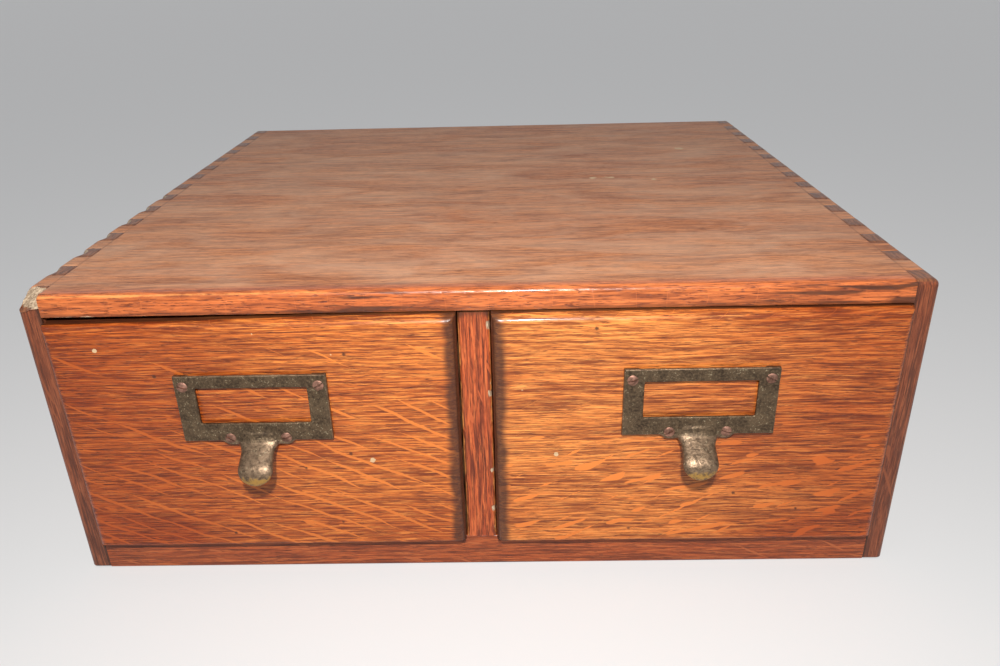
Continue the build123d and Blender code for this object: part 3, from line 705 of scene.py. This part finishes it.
def chipFingers(points, finger):
    # a chip is a slanted plane: points beyond it go back along its normal, by less towards the chip's ends.
    # The first finger is broken off along z = level(x, y), a slanted plane with noise
    half, top = casePlaces["half"], casePlaces["top"]
    pitch = (casePlaces["back"] - casePlaces["front"]) / joint["fingers"]
    roughEdge = layeredNoise(points, (3 * mm, 3 * mm, 3 * mm), 41) - 0.5
    before, normal = points.copy(), joint["chipNormal"]
    for number in joint["chippedFingers"]:
        middle = casePlaces["front"] + (number + 0.5) * pitch
        size = 0.55 + 0.9 * hashedCells(np.array([[number, 3]]), 6)[0]
        near = np.clip(1 - ((points[:, 1] - middle) / (0.52 * pitch)) ** 2, 0, 1)
        level = normal @ np.array([-half, 0, top]) - joint["edgeRadius"] * joint["chipStart"]
        depth = joint["chipDepth"] * size * near * (1 + 0.7 * roughEdge)
        beyond = np.clip(points @ normal - (level - depth), 0, None) * (near > 0) * (finger == number)
        points -= beyond[:, None] * normal
    inwards, backwards = joint["brokenRise"]
    level = top - joint["brokenDrop"] + (points[:, 0] + half) * inwards
    level += (points[:, 1] - casePlaces["front"]) * backwards + roughEdge * joint["ragged"]
    points[:, 2] = np.where(finger == 0, np.minimum(points[:, 2], level), points[:, 2])
    moved = np.linalg.norm(points - before, axis=1)
    old, bare = joint["freshDepths"]
    fresh = np.where(finger == 0, eased(points[:, 2], top - old, top - bare), 1)
    return np.clip(moved / (0.5 * mm), 0, 1) * fresh


def buildCase():
    piece = addPiece("topBoard", *topBoard())
    finishPiece(piece, finishes["top"], "case", "oak_case", "case_top")
    for sign, word in ((-1, "left"), (1, "right")):
        piece = addPiece(f"{word}Side", *sideBoard(sign))
        finishPiece(piece, finishes["side"], "case", "oak_case", f"case_side_{word}")
    print("case boards built")


buildCase()


# rails and stile

framing = {
    "radius": 1.2 * mm, "frontReach": 2.5 * mm,
    "dingWidth": 2.4 * mm, "dingLevel": 0.6, "dingDepth": 5 * mm, "dingRise": 0.8,
}


def framePiece(node, step, openLow, openHigh):
    # a block grid, closer near its edges, rounded into the node's box, which is open towards the ends
    # that other pieces cover; also how near each point is to the front, from 0 to 1
    radius = framing["radius"]
    low, high = nodeBox(node)
    xs = spaced(low[0], high[0], step, 3 * radius, 0.5 * radius)
    ys = spaced(low[1], high[1], 4 * mm, 2 * radius, 0.4 * radius)
    zs = spaced(low[2], high[2], step, 3 * radius, 0.5 * radius)
    place, points, quads = boardGrid(xs, ys, zs)
    points = intoRoundedBox(points, low - np.array(openLow) * openEnd, high + np.array(openHigh) * openEnd,
                            radius)
    return points, quads, low, high, 1 - eased(points[:, 1], low[1], low[1] + framing["frontReach"])


def stilePiece():
    # small dings in the right arris, sunk along x and y by clipped noise
    points, quads, low, high, front = framePiece("divider_stile", 1.6 * mm, (0, 0, 1), (0, 1, 1))
    dings = layeredNoise(points[:, [0, 2]], (3 * mm, 4.5 * mm), 51)
    rightEdge = eased(points[:, 0], high[0] - framing["dingWidth"], high[0])
    bite = rightEdge * front * np.clip(dings - framing["dingLevel"], 0, None) * framing["dingDepth"]
    points[:, 0] -= bite
    points[:, 1] += bite * framing["dingRise"]
    edgeDistance = np.minimum(points[:, 0] - low[0], high[0] - points[:, 0])
    wear = (1 - eased(edgeDistance, 0.2 * mm, 1.8 * mm)) * front * (0.25 + 0.8 * dings)
    # darker near both edges and at the top, under the top board
    topDarkening = eased(points[:, 2], high[2] - 5 * mm, high[2])
    grime = (1 - eased(edgeDistance, 0, 3.5 * mm)) * 0.45 + topDarkening * 0.6
    return points, quads, oakMarks(points, wear=wear, grime=grime, raw=np.clip(bite / (0.5 * mm), 0, 0.8))


def railPiece():
    points, quads, low, high, front = framePiece("front_rail", 3.0 * mm, (1, 0, 0), (1, 1, 0))
    rub = layeredNoise(points, (16 * mm, 5 * mm, 5 * mm), 61)
    upper = eased(points[:, 2], high[2] - 2.2 * mm, high[2])
    lower = 1 - eased(points[:, 2], low[2], low[2] + 3 * mm)
    wear = (upper * 0.6 + lower * 0.35) * front * (0.2 + 0.9 * rub)
    return points, quads, oakMarks(points, wear=wear, grime=upper * 0.35 + lower * 0.5 * rub)


finishPiece(addPiece("stile", *stilePiece()), finishes["stile"], "case", "oak_case", "divider_stile")
finishPiece(addPiece("lowerRail", *railPiece()), finishes["rail"], "case", "oak_case", "front_rail")
print("stile and rail built")


# drawer fronts

frontBoard = {
    "step": 0.85 * mm, "edgeStep": 0.75 * mm,
    "fineTop": 5 * mm, "fineStep": 0.6 * mm,   # rows below the upper edge
    "radius": 4.5 * mm, "lowerRadius": 2.0 * mm,
    "lap": 6.5 * mm,                           # of the front over the ends of the drawer sides
    "sideThickness": 9.5 * mm,
    "tails": 4, "neckShare": 0.6, "slope": 1 / 7,
    "worn": 0.14 * mm, "uneven": 0.28 * mm, "edgeDents": 1.4 * mm,
    "warpGap": 2.2 * mm,                       # the left front hangs this much lower at its left end
    "warpEnd": -31 * mm, "warpHeight": 14 * mm,
}
# x, z and radius in millimetres
faceSpots = {
    "left": {"pale": [(-175, 132, 1.5), (-51.6, 70.2, 2.0), (-101, 139, 0.7), (-66, 128, 0.6)],
             "dark": [(-150, 118, 1.6), (-109, 117, 1.5), (-60, 128, 1.4), (-126, 27, 1.5), (-70, 33, 1.2),
                      (-85, 66, 1.3), (-62, 74, 1.6)]},
    "right": {"pale": [(38, 72, 1.6), (198, 93, 0.9), (22, 108, 0.7)],
              "dark": [(56, 139, 1.5), (126, 48, 1.6), (158, 38, 1.3), (75, 27, 1.2)]},
}


def tailRows(low, high, marks):
    # rows up the board, doubled at the marks, which are the edges of the tails; whether each row is in a
    # tail; and its slide with the flare, from 1 at a tail's lower edge to -1 at its upper edge
    f = frontBoard
    heights, inTail, slide = [], [], []
    stops = np.concatenate([[low], marks, [high]])
    for k in range(len(stops) - 1):
        tail, last = k % 2 == 1, k == len(stops) - 2
        rows = spaced(stops[k], stops[k + 1], f["step"])
        if last:
            near = high - f["fineTop"]
            rows = np.concatenate([rows[rows < near], spaced(near, high, f["fineStep"])])
        share = (rows - rows[0]) / (rows[-1] - rows[0])
        first = 0.0 if k == 0 else (1.0 if tail else -1.0)
        final = 0.0 if last else (-1.0 if tail else 1.0)
        heights.append(rows)
        inTail.append(np.full(len(rows), tail))
        slide.append(first + (final - first) * share)
    return np.concatenate(heights), np.concatenate(inTail), np.concatenate(slide)


def roundDrop(distance, radius):
    # how far a quarter round has fallen at this distance from its edge: r - sqrt(r^2 - (r - d)^2)
    return radius - np.sqrt(np.clip(radius ** 2 - np.clip(radius - distance, 0, radius) ** 2, 0, None))


def frontShape(word, low, high):
    # a block grid: the face sinks by the larger of the two edge roundings, so they meet in a mitre, and
    # behind the lap the ends step in to the core wherever a tail of the drawer side sits
    f = frontBoard
    boxLow, boxHigh = nodeBox(f"{word}_drawer_side_left")
    lapPlane, core = low[1] + f["lap"], f["sideThickness"]
    ends = spaced(0, core, f["edgeStep"])
    xs = spaced(low[0] + core, high[0] - core, f["step"])
    xs = np.concatenate([low[0] + ends, xs[1:-1], high[0] - ends[::-1]])
    ys = np.concatenate([spaced(low[1], low[1] + f["radius"], f["edgeStep"]), [lapPlane, lapPlane],
                         spaced(lapPlane, high[1], 3 * mm)[1:]])
    backRow = np.arange(len(ys)) > np.argmax(np.isclose(ys, lapPlane))
    pitch = (boxHigh[2] - boxLow[2]) / f["tails"]
    neck = pitch * f["neckShare"] / 2
    flare = neck + (high[1] - lapPlane) * f["slope"]
    middles = boxLow[2] + (np.arange(f["tails"]) + 0.5) * pitch
    marks = np.sort(np.concatenate([middles - flare, middles + flare]))
    zs, inTail, slide = tailRows(low[2], high[2], marks)
    place, points, quads = boardGrid(xs, ys, zs)
    i, j, k = place.T
    behind = np.clip((points[:, 1] - lapPlane) / (high[1] - lapPlane), 0, 1)
    points[:, 2] += slide[k] * behind * (flare - neck)
    coreX = np.clip(points[:, 0], low[0] + core, high[0] - core)
    points[:, 0] = np.where(inTail[k] & backRow[j], coreX, points[:, 0])

    fromSide = np.minimum(points[:, 0] - low[0], high[0] - points[:, 0])
    sink = np.maximum(roundDrop(fromSide, f["radius"]), roundDrop(high[2] - points[:, 2], f["radius"]))
    sink = np.maximum(sink, roundDrop(points[:, 2] - low[2], f["lowerRadius"]))
    inLap = points[:, 1] < lapPlane - joint["hairline"]
    points[:, 1] = np.maximum(points[:, 1], low[1] + sink * inLap)
    return points, quads, j == 0


def frontMarks(word, points, low, high, face, flat, edgeNoise):
    # rays are plain on the left front, and show only low down on the right one; the colour darkens towards
    # the stile and along the ends, a shadow line is painted along the foot and shade is painted into the gap
    # above the upper edge, and the varnish is darker towards the outer end and a little towards the foot
    fromSide = np.minimum(points[:, 0] - low[0], high[0] - points[:, 0])
    fromTop, fromFoot = high[2] - points[:, 2], points[:, 2] - low[2]
    height = fromFoot / (high[2] - low[2])
    across = (points[:, 0] - low[0]) / (high[0] - low[0])
    outward = 1 - across if word == "left" else across
    toStile = high[0] - points[:, 0] if word == "left" else points[:, 0] - low[0]
    fleck = -1.3 * eased(height, 0.38, 0.62)
    if word == "left":
        fleck = -0.5 * eased(height, 0.45, 0.8) - 0.6 * eased(height, 0.85, 0.95)
    darkBlotches = layeredNoise(points, (9 * mm,) * 3, 77)
    # painted shade: the upper face behind the case front goes dark, so that the gap above the front reads as
    # shaded
    gapShade = eased(points[:, 1] - low[1], 4.3 * mm, 6 * mm) * (fromTop < 4 * mm)
    # darker towards the stile and along the ends by noise, a painted shadow line along the foot, the painted
    # gap shade, and dark spots
    grime = np.stack([
        (1 - eased(toStile, 1.0 * mm, 11 * mm)) * (0.55 + 0.9 * darkBlotches),
        (1 - eased(fromSide, 0.2 * mm, 4 * mm)) * (0.2 + 0.6 * darkBlotches),
        (1 - eased(fromFoot, 0.2 * mm, 1.8 * mm)) * 0.8, gapShade * 1.6,
        np.clip(roundSpecks(points[:, [0, 2]], faceSpots[word]["dark"]) * 1.3, 0, 1)]).max(0)
    upperArris = (1 - eased(fromTop, 1.5 * mm, 6 * mm)) * (points[:, 1] < low[1] + 3 * mm)
    tone = layeredNoise(flat, (60 * mm, 22 * mm), 79, 2) - 0.5
    glaze = eased(outward + tone * 0.5, 0.25, 0.95) * 0.8 + (1 - eased(height, 0.0, 0.5)) * 0.25
    speck = np.where(face, roundSpecks(points[:, [0, 2]], faceSpots[word]["pale"]), -1)
    return oakMarks(points, wear=upperArris * 0.35 * (0.3 + edgeNoise), grime=grime, fleck=fleck,
                    speck=speck, glaze=np.clip(glaze, 0, 1))


def drawerFront(word):
    # the face is worn uneven by noise and dented near its edges; the left front's upper left corner sags
    f = frontBoard
    low, high = nodeBox(f"{word}_drawer_front")
    points, quads, face = frontShape(word, low, high)
    flat = np.stack([points[:, 0] - (low[0] + high[0]) / 2, points[:, 2]], -1)
    uneven = layeredNoise(flat, (38 * mm, 20 * mm), 73, 2) - 0.5
    points[:, 1] += np.where(face, f["worn"] + uneven * f["uneven"], 0)
    edgeNoise = layeredNoise(points, (11 * mm,) * 3, 75)
    fromEdge = np.minimum(np.minimum(points[:, 0] - low[0], high[0] - points[:, 0]), high[2] - points[:, 2])
    dents = (1 - eased(fromEdge, 0, 5 * mm)) * np.clip(edgeNoise - 0.55, 0, None)
    points[:, 1] += np.where(face, dents * f["edgeDents"], 0)
    if word == "left":
        sag = 1 - eased(points[:, 0], low[0], f["warpEnd"])
        points[:, 2] -= sag * eased(points[:, 2], high[2] - f["warpHeight"], high[2]) * f["warpGap"]
    marks = frontMarks(word, points, low, high, face, flat, edgeNoise)
    piece = addPiece(f"{word}Front", points, quads, marks)
    finishPiece(piece, finishes[f"{word}Face"], f"{word}_drawer", "oak_face", f"{word}_drawer_front")


for word in ("left", "right"):
    drawerFront(word)
print("drawer fronts built")


# cast pulls

casting = {
    "width": 72 * mm, "height": 35.2 * mm, "thickness": 2.4 * mm, "bevel": 0.4 * mm,
    "windowWidth": 52.6 * mm, "windowHeight": 18.9 * mm, "windowTopBorder": 6.7 * mm,
    "earPlace": 13.5 * mm, "earRise": 1.6 * mm, "earRadius": 3.9 * mm, "earFillet": 2.4 * mm,
    "neckHalf": 7.75 * mm, "rootRise": 4.5 * mm, "rootRadius": 8.0 * mm, "slope": math.radians(54),
    "run": 9.6 * mm, "noseRadius": 9.0 * mm, "tip": math.radians(-12), "tongueWidth": 17.0 * mm,
    "crown": 3.4 * mm, "shoulder": 3.4 * mm, "shoulderRun": 11 * mm, "recess": 0.9 * mm,
    "recessLip": 2.4 * mm, "sideSteps": 96, "stations": 90, "around": 48,
    "voxel": 0.34 * mm, "skinRounds": 3, "seamRounds": 26,
    "pitCell": 2.2 * mm, "pitDepth": 0.22 * mm, "faceDepths": (1.6 * mm, 3.2 * mm),
    "rimWear": 0.38, "tongueWear": 0.36, "clearance": 0.01 * mm,
}


def lowerEdge(x):
    # the plate's lower edge: straight, with a round ear under each lower screw and a small hollow beside it
    c = casting
    straight = -c["height"] / 2
    ear = straight + c["earRise"]
    reach = c["earRadius"] + c["earFillet"]
    outer = c["earPlace"] + math.sqrt(reach ** 2 - (c["earRise"] + c["earFillet"]) ** 2)
    side = np.abs(x)
    bulge = ear - np.sqrt(np.clip(c["earRadius"] ** 2 - (side - c["earPlace"]) ** 2, 0, None))
    hollow = straight - c["earFillet"] + np.sqrt(np.clip(c["earFillet"] ** 2 - (side - outer) ** 2, 0, None))
    touch = c["earPlace"] + (outer - c["earPlace"]) * c["earRadius"] / reach
    edge = np.where(side > outer, straight, np.where(side > touch, hollow, bulge))
    return np.where(side < c["earPlace"], ear - c["earRadius"], edge)


def plateRing():
    # a profile carried round the window: outer side, bevel, front, window edge and back, between the
    # plate's outline and the window's, with a mitre at each corner. Returns a closed ring of quads
    c = casting
    w, h = c["width"] / 2, c["height"] / 2
    windowTop = h - c["windowTopBorder"]
    a, windowLow = c["windowWidth"] / 2, windowTop - c["windowHeight"]
    n = c["sideSteps"]
    t = np.linspace(0, 1, n + 1)[:-1]
    s = t * 2 - 1
    outerX = np.concatenate([s * w, np.full(n, w), -s * w, np.full(n, -w)])
    outerZ = np.concatenate([np.full(n, h), -s * h, lowerEdge(s * w), s * h])
    innerX = np.concatenate([s * a, np.full(n, a), -s * a, np.full(n, -a)])
    innerZ = np.concatenate([np.full(n, windowTop), windowTop + (windowLow - windowTop) * t,
                             np.full(n, windowLow), windowLow + (windowTop - windowLow) * t])
    # profile: (share from outline to window, inset from the outline, inset from the window, depth)
    thick, bevel = c["thickness"], c["bevel"]
    profile = [(0, 0, 0, 0), (0, 0, 0, thick - bevel), (0, bevel, 0, thick)]
    profile += [(share, 0, 0, thick) for share in np.linspace(0.12, 0.88, 9)]
    profile += [(1, 0, bevel * 0.7, thick), (1, 0, 0, thick - bevel * 0.7), (1, 0, 0, 0)]
    profile += [(share, 0, 0, 0) for share in np.linspace(0.9, 0.1, 7)]
    spread = np.stack([innerX - outerX, innerZ - outerZ], -1)
    length = np.linalg.norm(spread, axis=1, keepdims=True)
    rings = []
    for share, inset, windowInset, depth in profile:
        flat = np.stack([outerX, outerZ], -1) + spread * share
        flat = flat + spread / length * (inset - windowInset)
        rings.append(np.column_stack([flat[:, 0], np.full(len(flat), -depth), flat[:, 1]]))
    points = np.stack(rings)
    recessed = (np.abs(points[..., 0]) < a + c["recessLip"]) & (points[..., 2] > windowLow - c["recessLip"])
    points[..., 1] = np.where(recessed & (points[..., 1] > -c["recess"]), -c["recess"], points[..., 1])
    return closedTube(points)


def closedTube(points):
    # quads of a grid of points[section, place] that closes on itself both ways
    n, m = points.shape[:2]
    number = np.arange(n * m).reshape(n, m)
    down, right = np.roll(number, -1, 0), np.roll(number, -1, 1)
    corner = np.roll(down, -1, 1)
    return points.reshape(-1, 3), np.stack([number, down, corner, right], -1).reshape(-1, 4)


def tongueSurface():
    # an oval section carried down the tongue's path (hollow bend, straight run, round nose); its half
    # width follows a half circle at the tip, w = W sqrt(1 - q^2), and its crown thins in the same way
    c = casting
    bend, nose = c["rootRadius"] * c["slope"], c["noseRadius"] * (c["slope"] - c["tip"])
    total = bend + c["run"] + nose
    tipLength = c["tongueWidth"] / 2
    along = np.sin(np.linspace(0, math.pi / 2, c["stations"])) * total
    root = np.minimum(along, bend) / c["rootRadius"]
    straight = np.clip(along - bend, 0, c["run"])
    end = np.clip(along - bend - c["run"], 0, None) / c["noseRadius"]
    out = c["rootRadius"] * (1 - np.cos(root)) + straight * math.sin(c["slope"])
    out += c["noseRadius"] * (np.cos(c["slope"] - end) - math.cos(c["slope"]))
    down = c["rootRadius"] * np.sin(root) + straight * math.cos(c["slope"])
    down += c["noseRadius"] * (math.sin(c["slope"]) - np.sin(c["slope"] - end))
    turn = np.minimum(root, c["slope"]) - end
    q = np.clip((along - (total - tipLength)) / tipLength, 0, 1)
    tip = np.sqrt(np.clip(1 - q ** 2, 0, None))
    waist = 1 - 0.05 * np.sin(np.clip(along / (total - tipLength), 0, 1) * math.pi)
    half = c["tongueWidth"] / 2 * tip * waist + c["shoulder"] * (1 - eased(along, 0, c["shoulderRun"]))
    crown = c["crown"] * (0.35 + 0.65 * tip)
    angle = np.linspace(0, 2 * math.pi, c["around"] + 1)[:-1]
    side = np.sign(np.cos(angle)) * np.abs(np.cos(angle)) ** 0.8
    rise = np.where(np.sin(angle) > 0, np.abs(np.sin(angle)) ** 0.85, 0)
    under = np.where(np.sin(angle) < 0, -0.22 * np.abs(np.sin(angle)) ** 0.5, 0)
    x = half[:, None] * side
    high = crown[:, None] * (0.12 + 0.88 * rise + under) - c["thickness"] / 2
    y = -(c["thickness"] / 2 + out)[:, None] - high * np.cos(turn)[:, None]
    z = (-c["height"] / 2 + c["rootRise"] - down)[:, None] + high * np.sin(turn)[:, None]
    points = np.stack([x, y, z], -1)
    ends = [points[:1].mean(1, keepdims=True), points[-1:].mean(1, keepdims=True)]
    n, m = len(points) + 2, c["around"]
    points = np.concatenate([np.repeat(ends[0], m, 1), points, np.repeat(ends[1], m, 1)])
    number = np.arange(n * m).reshape(n, m)
    right = np.roll(number, -1, 1)
    quads = np.stack([number[:-1], right[:-1], right[1:], number[1:]], -1).reshape(-1, 4)
    return points.reshape(-1, 3), quads


def smoothedPoints(points, edges, weight, rounds):
    # each round moves a point by its weight towards the mean of its neighbours
    counts = np.bincount(edges.ravel(), minlength=len(points))[:, None]
    for _ in range(rounds):
        total = np.zeros_like(points)
        np.add.at(total, edges[:, 0], points[edges[:, 1]])
        np.add.at(total, edges[:, 1], points[edges[:, 0]])
        points = points + (total / np.maximum(counts, 1) - points) * weight[:, None]
    return points


def remeshed(piece, voxel):
    # the arrays of one closed skin of even quads over the piece, which is then removed
    outwardFaces(piece)
    remesh = piece.modifiers.new("skin", "REMESH")
    remesh.mode = "VOXEL"
    remesh.voxel_size = voxel
    skin = bpy.data.meshes.new_from_object(piece.evaluated_get(bpy.context.evaluated_depsgraph_get()))
    bpy.data.objects.remove(piece)
    points = np.zeros(len(skin.vertices) * 3, np.float32)
    skin.vertices.foreach_get("co", points)
    edges = np.zeros(len(skin.edges) * 2, np.int32)
    skin.edges.foreach_get("vertices", edges)
    corners = np.zeros(len(skin.polygons) * 4, np.int32)
    skin.loops.foreach_get("vertex_index", corners)
    return points.reshape(-1, 3).astype(float), edges.reshape(-1, 2), corners.reshape(-1, 4)


def pullWear(points):
    # rubbed rim, a tongue that gets lighter from the plate downwards, and bare metal at its tip
    c = casting
    w, h = c["width"] / 2, c["height"] / 2
    down = -points[:, 2]
    rim = np.minimum(w - np.abs(points[:, 0]), h - np.abs(points[:, 2]))
    rimWear = (1 - eased(rim, 0.15 * mm, 0.9 * mm)) * c["rimWear"] * (points[:, 1] < -1.4 * mm)
    fromTip = points[:, 2] - points[:, 2].min()
    tipWear = eased(down, h + 1 * mm, h + 6 * mm) * (1 - eased(fromTip, 3 * mm, 9 * mm))
    middle = 1 - eased(np.abs(points[:, 0]), w * 0.18, w * 0.3)
    tongueWear = eased(down, h - 4 * mm, h + 9 * mm) * middle * c["tongueWear"]
    return np.maximum(np.maximum(rimWear, tipWear), tongueWear)


def castPull(word):
    # ring and tongue are remeshed into one skin, smoothed most where they meet, then pitted
    c = casting
    low, high = nodeBox(f"{word}_pull")
    centre = np.array([(low[0] + high[0]) / 2, high[1], high[2] - c["height"] / 2])
    rough = addPiece(f"{word}PullRough", *joinArrays([plateRing(), tongueSurface()]))
    points, edges, quads = remeshed(rough, c["voxel"])
    points = smoothedPoints(points, edges, np.full(len(points), 0.5), c["skinRounds"])
    seamHeight = c["rootRise"] - c["height"] / 2 - 3 * mm
    near = 1 - eased(np.hypot(points[:, 0] / 1.35, points[:, 2] - seamHeight), 5 * mm, 10 * mm)
    points = smoothedPoints(points, edges, 0.5 * near * (points[:, 1] < -1.2 * mm), c["seamRounds"])
    pits = np.abs(layeredNoise(points, (c["pitCell"],) * 3, 81) - 0.5) * c["pitDepth"]
    shallow, deep = c["faceDepths"]
    points[:, 1] += np.where((points[:, 1] < -shallow) & (points[:, 1] > -deep), pits, 0)
    wear = pullWear(points)
    inset = np.full(3, c["clearance"])
    points = np.clip(points + centre, low + inset, high - inset * [1, 0, 1])
    piece = addPiece(f"{word}Pull", points, quads, {"wear": wear}, sharp=70.0)
    finishPiece(piece, finishes["brass"], f"{word}_drawer", "cast_brass", f"{word}_pull")
    return centre


# screws

screw = {
    "head": 2.7 * mm, "dome": 0.7 * mm, "slotWidth": 0.62 * mm, "slotDepth": 0.55 * mm,
    "rim": 0.35 * mm, "sink": 1.4 * mm, "sinkShare": 0.55, "proud": 0.02 * mm,
    "angles": (18.0, -32.0, 40.0, -24.0), "rightTurn": -0.8,
    "places": [(-31.95 * mm, 12 * mm), (31.95 * mm, 12 * mm), (-13.5 * mm, -16 * mm), (13.5 * mm, -16 * mm)],
}


def screwHead(angle):
    # chords across a disc: at height v the chord runs to sqrt(R^2 - v^2); the dome falls with the square
    # of the radius, and the slot is a straight trench along the chords near v = 0
    r = screw["head"]
    half = screw["slotWidth"] / 2
    outer = np.sin(np.linspace(math.asin((half + 0.03 * mm) / r), math.pi / 2, 15)) * r
    v = np.concatenate([-outer[::-1], [-half, -half * 0.85, 0, half * 0.85, half], outer])
    u = np.sin(np.linspace(-math.pi / 2, math.pi / 2, 33))
    chord = np.sqrt(np.clip(r * r - v ** 2, 0, None))
    x = u[None, :] * chord[:, None]
    z = np.repeat(v[:, None], len(u), 1)
    radial = np.hypot(x, z) / r
    rise = screw["dome"] * (1 - radial ** 2) ** 0.8 - screw["rim"] * eased(radial, 0.96, 1.0)
    trench = (np.abs(z) <= half * 0.86) * screw["slotDepth"]
    deep = screw["sink"] * np.clip((1 - radial) / screw["sinkShare"], 0, 1)
    front = np.stack([x, trench - rise, z], -1)
    back = np.stack([x, screw["rim"] + deep, z], -1)
    n, m = len(v), len(u)
    number = np.arange(n * m).reshape(n, m)
    quad = np.stack([number[:-1, :-1], number[:-1, 1:], number[1:, 1:], number[1:, :-1]], -1).reshape(-1, 4)
    points = np.concatenate([front.reshape(-1, 3), back.reshape(-1, 3)])
    quads = np.concatenate([quad, quad[:, ::-1] + n * m])
    turn = math.radians(angle)
    turned = points.copy()
    turned[:, 0] = points[:, 0] * math.cos(turn) + points[:, 2] * math.sin(turn)
    turned[:, 2] = -points[:, 0] * math.sin(turn) + points[:, 2] * math.cos(turn)
    return turned, quads


def pullScrews(word, centre):
    parts = []
    for (x, z), angle in zip(screw["places"], screw["angles"]):
        points, quads = screwHead(angle if word == "left" else screw["rightTurn"] * angle)
        parts.append((points + centre + [x, -casting["thickness"] - screw["proud"], z], quads))
    piece = addPiece(f"{word}Screws", *joinArrays(parts), sharp=35.0)
    outwardFaces(piece)
    finishPiece(piece, finishes["copper"], f"{word}_drawer", "copper_screw", f"{word}_pull_screws")


for word in ("left", "right"):
    pullScrews(word, castPull(word))
print("pulls and screws built")


# inner pieces keep their shapes and get bare wood or metal

innerFinishes = {
    "back_rail": "bareX", "case_floor": "bareX", "case_back": "bareX", "back_nails": "steel",
    "divider_panel": "bareY", "drawer_stops": "bareX",
    "drawer_side_left": "bareY", "drawer_side_right": "bareY", "drawer_back": "bareX",
    "drawer_bottom": "bareX", "follower_guide": "bareY", "follower_block": "bareX",
    "follower_cleat_left": "bareY", "follower_cleat_right": "bareY", "follower_board": "bareX",
    "follower_spring": "spring", "follower_nails": "steel",
}
for node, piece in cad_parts.items():
    part = node.removeprefix("left_").removeprefix("right_")
    if part in innerFinishes:
        piece.data.materials.clear()
        piece.data.materials.append(finishes[innerFinishes[part]])
print("inner pieces finished")


# floor, light and camera

def stagePlane(name, size, colour, shownColour, glow):
    # a plain floor; for the camera and in gloss part of its colour glows, so that it stays pale far away
    bench = Bench(bpy.data.materials.new(name))
    seen = bench.seen()
    material = bench.finish({"Base Color": bench.mix(seen, colour, shownColour), "Roughness": 0.9,
                             "Specular IOR Level": 0.1, "Emission Color": (0.97, 0.98, 1.0),
                             "Emission Strength": bench.times(seen, glow)})
    mesh = bpy.data.meshes.new(name)
    corners = [(-size, -size, 0), (size, -size, 0), (size, size, 0), (-size, size, 0)]
    mesh.from_pydata(corners, [], [(0, 1, 2, 3)])
    plane = bpy.data.objects.new(name, mesh)
    plane.data.materials.append(material)
    bpy.context.scene.collection.objects.link(plane)


def areaLight(name, place, target, size, power, colour):
    data = bpy.data.lights.new(name, "AREA")
    data.shape = "DISK"
    data.size = size
    data.energy = power
    data.color = colour
    lamp = bpy.data.objects.new(name, data)
    lamp.location = place
    lamp.rotation_euler = (Vector(target) - Vector(place)).to_track_quat("-Z", "Y").to_euler()
    bpy.context.scene.collection.objects.link(lamp)


def plainWorld(shown, strength):
    # a pale backdrop for the camera and for gloss, and a soft even light for everything else
    bench = Bench(bpy.data.worlds.new("studio"))
    soft = bench.add("ShaderNodeBackground", {"Color": (1.0, 1.0, 1.0), "Strength": strength}).outputs[0]
    pale = bench.add("ShaderNodeBackground", {"Color": shown}).outputs[0]
    mixed = bench.add("ShaderNodeMixShader", {0: bench.seen(), 1: soft, 2: pale}).outputs[0]
    bench.add("ShaderNodeOutputWorld", {0: mixed})
    bpy.context.scene.world = bench.owner


light = {
    "aim": (0.0, -0.02, 0.08),
    "keyPlace": (0.02, -0.62, 0.52), "keySize": 0.04, "keyPower": 5.8, "keyColour": (1.0, 0.985, 0.96),
    "fillPlace": (-0.9, -0.9, 1.3), "fillSize": 1.6, "fillPower": 1.1, "fillColour": (0.96, 0.98, 1.0),
    "world": 0.16, "shown": (0.56, 0.565, 0.575),
    "floorSize": 30.0, "floor": (0.60, 0.59, 0.575), "floorShown": (0.46, 0.455, 0.45), "floorGlow": 0.34,
}
stagePlane("floor", light["floorSize"], light["floor"], light["floorShown"], light["floorGlow"])
for lamp in ("key", "fill"):
    areaLight(lamp, light[f"{lamp}Place"], light["aim"], light[f"{lamp}Size"], light[f"{lamp}Power"],
              light[f"{lamp}Colour"])
plainWorld(light["shown"], light["world"])

view = {"place": (0.01960, -0.52532, 0.29190), "turn": (65.228, 1.3457, 0.6451), "lens": 29.2529,
        "sensor": 36.0}
cameraData = bpy.data.cameras.new("camera")
cameraData.lens = view["lens"]
cameraData.sensor_width = view["sensor"]
camera = bpy.data.objects.new("camera", cameraData)
camera.location = view["place"]
camera.rotation_euler = [math.radians(angle) for angle in view["turn"]]
bpy.context.scene.collection.objects.link(camera)
bpy.context.scene.camera = camera
bpy.context.scene.view_settings.view_transform = "Standard"
print("stage set")
